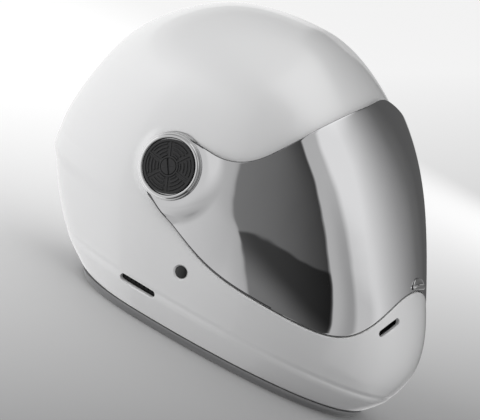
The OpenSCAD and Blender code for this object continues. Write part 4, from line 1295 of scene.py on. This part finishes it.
def floorMaterial():
    # pale at one side and grey at the other, fading evenly up the picture; the grey side is painted
    # shade
    # seen directly it is a little lifted, and its bounce is an even grey
    m = bpy.data.materials.new("floorPaint")
    m.use_nodes = True
    t = m.node_tree
    t.nodes.clear()
    out = addNode(t, "ShaderNodeOutputMaterial")
    geo = addNode(t, "ShaderNodeNewGeometry")
    away = addNode(t, "ShaderNodeVectorMath", {0: geo.outputs["Position"],
                                               1: (studio["fan"][0], studio["fan"][1], 0)},
                   operation="SUBTRACT")
    unitWay = addNode(t, "ShaderNodeVectorMath", {0: away.outputs[0]}, operation="NORMALIZE")
    sep = addNode(t, "ShaderNodeSeparateXYZ", {0: unitWay.outputs[0]})
    fac = addNode(t, "ShaderNodeMapRange", {"Value": sep.outputs["Y"], "From Min": -0.13,
                                            "From Max": 0.2})
    ramp = addNode(t, "ShaderNodeValToRGB", {"Fac": fac.outputs["Result"]})
    pale, grey = studio["floorPale"], studio["floorGrey"]
    ramp.color_ramp.elements[0].color = (grey, grey, grey * 1.01, 1)
    ramp.color_ramp.elements[1].color = (pale, pale, pale, 1)
    path = addNode(t, "ShaderNodeLightPath")
    bounce = addNode(t, "ShaderNodeMixRGB", {0: path.outputs["Is Diffuse Ray"],
                                             1: ramp.outputs["Color"], 2: (*studio["bounce"], 1)})
    diffuse = addNode(t, "ShaderNodeBsdfDiffuse", {"Color": bounce.outputs[0]})
    lift = addNode(t, "ShaderNodeEmission", {"Color": ramp.outputs["Color"]})
    t.links.new(mathNode(t, "MULTIPLY", path.outputs["Is Camera Ray"], studio["cameraLift"]),
                lift.inputs["Strength"])
    add = addNode(t, "ShaderNodeAddShader", {0: diffuse.outputs[0], 1: lift.outputs[0]})
    t.links.new(add.outputs[0], out.inputs["Surface"])
    return m


floorMesh = bpy.data.meshes.new("floor")
s = studio["floor"]
floorMesh.from_pydata([(-s, -s, 0), (s, -s, 0), (s, s, 0), (-s, s, 0)], [], [(0, 1, 2, 3)])
floorMesh.materials.append(floorMaterial())
floor = bpy.data.objects.new("floor", floorMesh)
floor.visible_glossy = False  # gloss sees the studio's cards on every side, as on a raised stand
bpy.context.scene.collection.objects.link(floor)


def buildStudio():
    # plain soft light for all; mirrors and gloss see a ring of pale and dark cards
    world = bpy.data.worlds.new("studio")
    bpy.context.scene.world = world
    world.use_nodes = True
    t = world.node_tree
    t.nodes.clear()
    out = addNode(t, "ShaderNodeOutputWorld")
    co = addNode(t, "ShaderNodeTexCoord")
    sep = addNode(t, "ShaderNodeSeparateXYZ", {0: co.outputs["Generated"]})
    turn = mathNode(t, "ARCTAN2", sep.outputs["X"], mathNode(t, "MULTIPLY", sep.outputs["Y"], -1))
    az = mathNode(t, "DEGREES", turn)
    el = mathNode(t, "DEGREES", mathNode(t, "ARCSINE", sep.outputs["Z"]))
    # the edge of the dark card leans with height
    lean = mathNode(t, "MULTIPLY", ease(t, el, 8, 45), 16)
    near = mathNode(t, "MULTIPLY", lean, mathNode(t, "SUBTRACT", 1, ease(t, mathNode(
        t, "ABSOLUTE", mathNode(t, "ADD", az, 42)), 10, 40)))
    # and its side edge steps in low down
    stepIn = mathNode(t, "MULTIPLY", mathNode(t, "SUBTRACT", 1, ease(t, el, -23, -16)),
                      mathNode(t, "SUBTRACT", 1, ease(t, mathNode(
                          t, "ABSOLUTE", mathNode(t, "ADD", az, 90)), 8, 30)))
    shifted = mathNode(t, "SUBTRACT", mathNode(t, "ADD", az, near),
                       mathNode(t, "MULTIPLY", stepIn, 5.0))
    place = mathNode(t, "DIVIDE", mathNode(t, "ADD", shifted, 180), 360)
    ramp = addNode(t, "ShaderNodeValToRGB", {"Fac": place})
    stops = []
    for card in ("rearCard", "darkCard", "stripCard", "frontCard", "sideCard"):
        stops += [((deg + 180) % 360 - 180, bright) for deg, bright in studio[card]]
    stops.sort()
    stops.append((180, stops[0][1]))
    el0 = ramp.color_ramp.elements
    while len(el0) > 1:
        el0.remove(el0[-1])
    el0[0].position = 0
    el0[0].color = (stops[0][1],) * 3 + (1,)
    for deg, value in stops[1:]:
        e = el0.new((deg + 180) / 360)
        e.color = (value,) * 3 + (1,)
    ring = addNode(t, "ShaderNodeSeparateColor", {0: ramp.outputs["Color"]}).outputs[0]
    # inside the dark card: darker floor below a slanting line, paler again far down
    inCard = mathNode(t, "MULTIPLY", ease(t, shifted, -92, -90.5),
                      mathNode(t, "SUBTRACT", 1, ease(t, az, -38.5, -36.5)))
    ahead = mathNode(t, "MULTIPLY", ease(t, az, -72, -55),
                     mathNode(t, "SUBTRACT", 1, ease(t, az, 60, 78)))
    foot = mathNode(t, "SUBTRACT", 1, ease(t, mathNode(
        t, "SUBTRACT", el, mathNode(t, "MULTIPLY", ahead, 16)), -54, -48))
    footTone = mathNode(t, "SUBTRACT", studio["footTone"],
                        mathNode(t, "MULTIPLY", ahead, studio["footDim"]))
    line = mathNode(t, "SUBTRACT", el, mathNode(t, "ADD", mathNode(t, "MULTIPLY", mathNode(
        t, "ADD", az, 91), studio["floorSlope"]), studio["floorStart"]))
    under = mathNode(t, "SUBTRACT", 1, ease(t, line, -0.6, 0.4))
    deep = mathNode(t, "MULTIPLY", under, mathNode(t, "SUBTRACT", 1, ease(t, el, -38, -16)))
    dim = mathNode(t, "MULTIPLY", inCard, mathNode(t, "SUBTRACT", mathNode(
        t, "MULTIPLY", under, studio["floorDim"]), mathNode(t, "MULTIPLY", deep, 0.75)))
    value = mathNode(t, "MULTIPLY", ring, mathNode(t, "SUBTRACT", 1, dim))
    value = mathNode(t, "ADD", mathNode(t, "MULTIPLY", value, mathNode(t, "SUBTRACT", 1, foot)),
                     mathNode(t, "MULTIPLY", foot, footTone))
    # overhead panel, and the dark top right only above a height
    value = mathNode(t, "MULTIPLY", value, mathNode(t, "SUBTRACT", 1, mathNode(
        t, "MULTIPLY", mathNode(t, "MULTIPLY", ease(t, az, -36, -20), mathNode(
            t, "SUBTRACT", 1, ease(t, az, 0, 16))), mathNode(t, "MULTIPLY", mathNode(
                t, "SUBTRACT", 1, ease(t, el, 14, 30)), 0.3))))
    lowRight = mathNode(t, "MULTIPLY", ease(t, az, 74, 98), mathNode(
        t, "SUBTRACT", 1, ease(t, el, -14, -7)))
    value = mathNode(t, "ADD", value, mathNode(t, "MULTIPLY", lowRight, mathNode(
        t, "MAXIMUM", mathNode(t, "SUBTRACT", 0.62, value), 0)))
    # the room behind is dimmer towards its ceiling
    rear = ease(t, mathNode(t, "ABSOLUTE", az), 80, 110)
    high = ease(t, el, *studio["rearFrom"])
    ceiling = mathNode(t, "MULTIPLY", mathNode(t, "MULTIPLY", rear, high), studio["rearDim"])
    value = mathNode(t, "MULTIPLY", value, mathNode(t, "SUBTRACT", 1, ceiling))
    over = ease(t, el, *studio["overFrom"])
    overTone = mathNode(t, "SUBTRACT", studio["overhead"], mathNode(t, "MULTIPLY", rear, 0.5))
    value = mathNode(t, "ADD", mathNode(t, "MULTIPLY", value, mathNode(t, "SUBTRACT", 1, over)),
                     mathNode(t, "MULTIPLY", over, overTone))
    # large panel behind and to the side, seen as the soft window on the shell
    wrap = mathNode(t, "ABSOLUTE", mathNode(t, "SUBTRACT", mathNode(t, "MODULO", mathNode(
        t, "ADD", az, 360 + studio["windowTurn"]), 360), 180))  # degrees from the panel's middle
    side = mathNode(t, "SUBTRACT", 1, ease(t, wrap, *studio["windowHalf"]))
    low = mathNode(t, "SUBTRACT", 1, ease(t, el, *studio["windowTop"]))
    panel = mathNode(t, "MULTIPLY", mathNode(t, "MULTIPLY", side, low), studio["boxGain"])
    value = mathNode(t, "ADD", value, panel)
    gloss = addNode(t, "ShaderNodeCombineColor", {0: value, 1: value, 2: value})
    path = addNode(t, "ShaderNodeLightPath")
    plain = addNode(t, "ShaderNodeBackground", {"Color": (1, 1, 1, 1),
                                                "Strength": studio["world"]})
    cards = addNode(t, "ShaderNodeBackground", {"Color": gloss.outputs[0], "Strength": 1.0})
    mix = addNode(t, "ShaderNodeMixShader", {0: path.outputs["Is Glossy Ray"],
                                             1: plain.outputs[0], 2: cards.outputs[0]})
    t.links.new(mix.outputs[0], out.inputs["Surface"])


buildStudio()


def areaLight(name, size, energy, place, aim):
    data = bpy.data.lights.new(name, "AREA")
    data.shape, data.size, data.size_y, data.energy = "RECTANGLE", size[0], size[1], energy
    o = bpy.data.objects.new(name, data)
    bpy.context.scene.collection.objects.link(o)
    o.location = place
    o.visible_glossy = False
    o.rotation_mode = "QUATERNION"
    o.rotation_quaternion = (Vector(aim) - Vector(place)).to_track_quat("-Z", "Y")
    return o


areaLight("sideBox", (1.8, 1.8), studio["sideBox"], (-1.7, 1.7, 1.3), (0, 0, 0.12))
areaLight("frontBox", (1.2, 0.9), studio["frontBox"], (1.9, -0.5, 0.45), (0, -0.06, 0.1))

bpy.context.scene.view_settings.view_transform = "Standard"
print("scene ready")
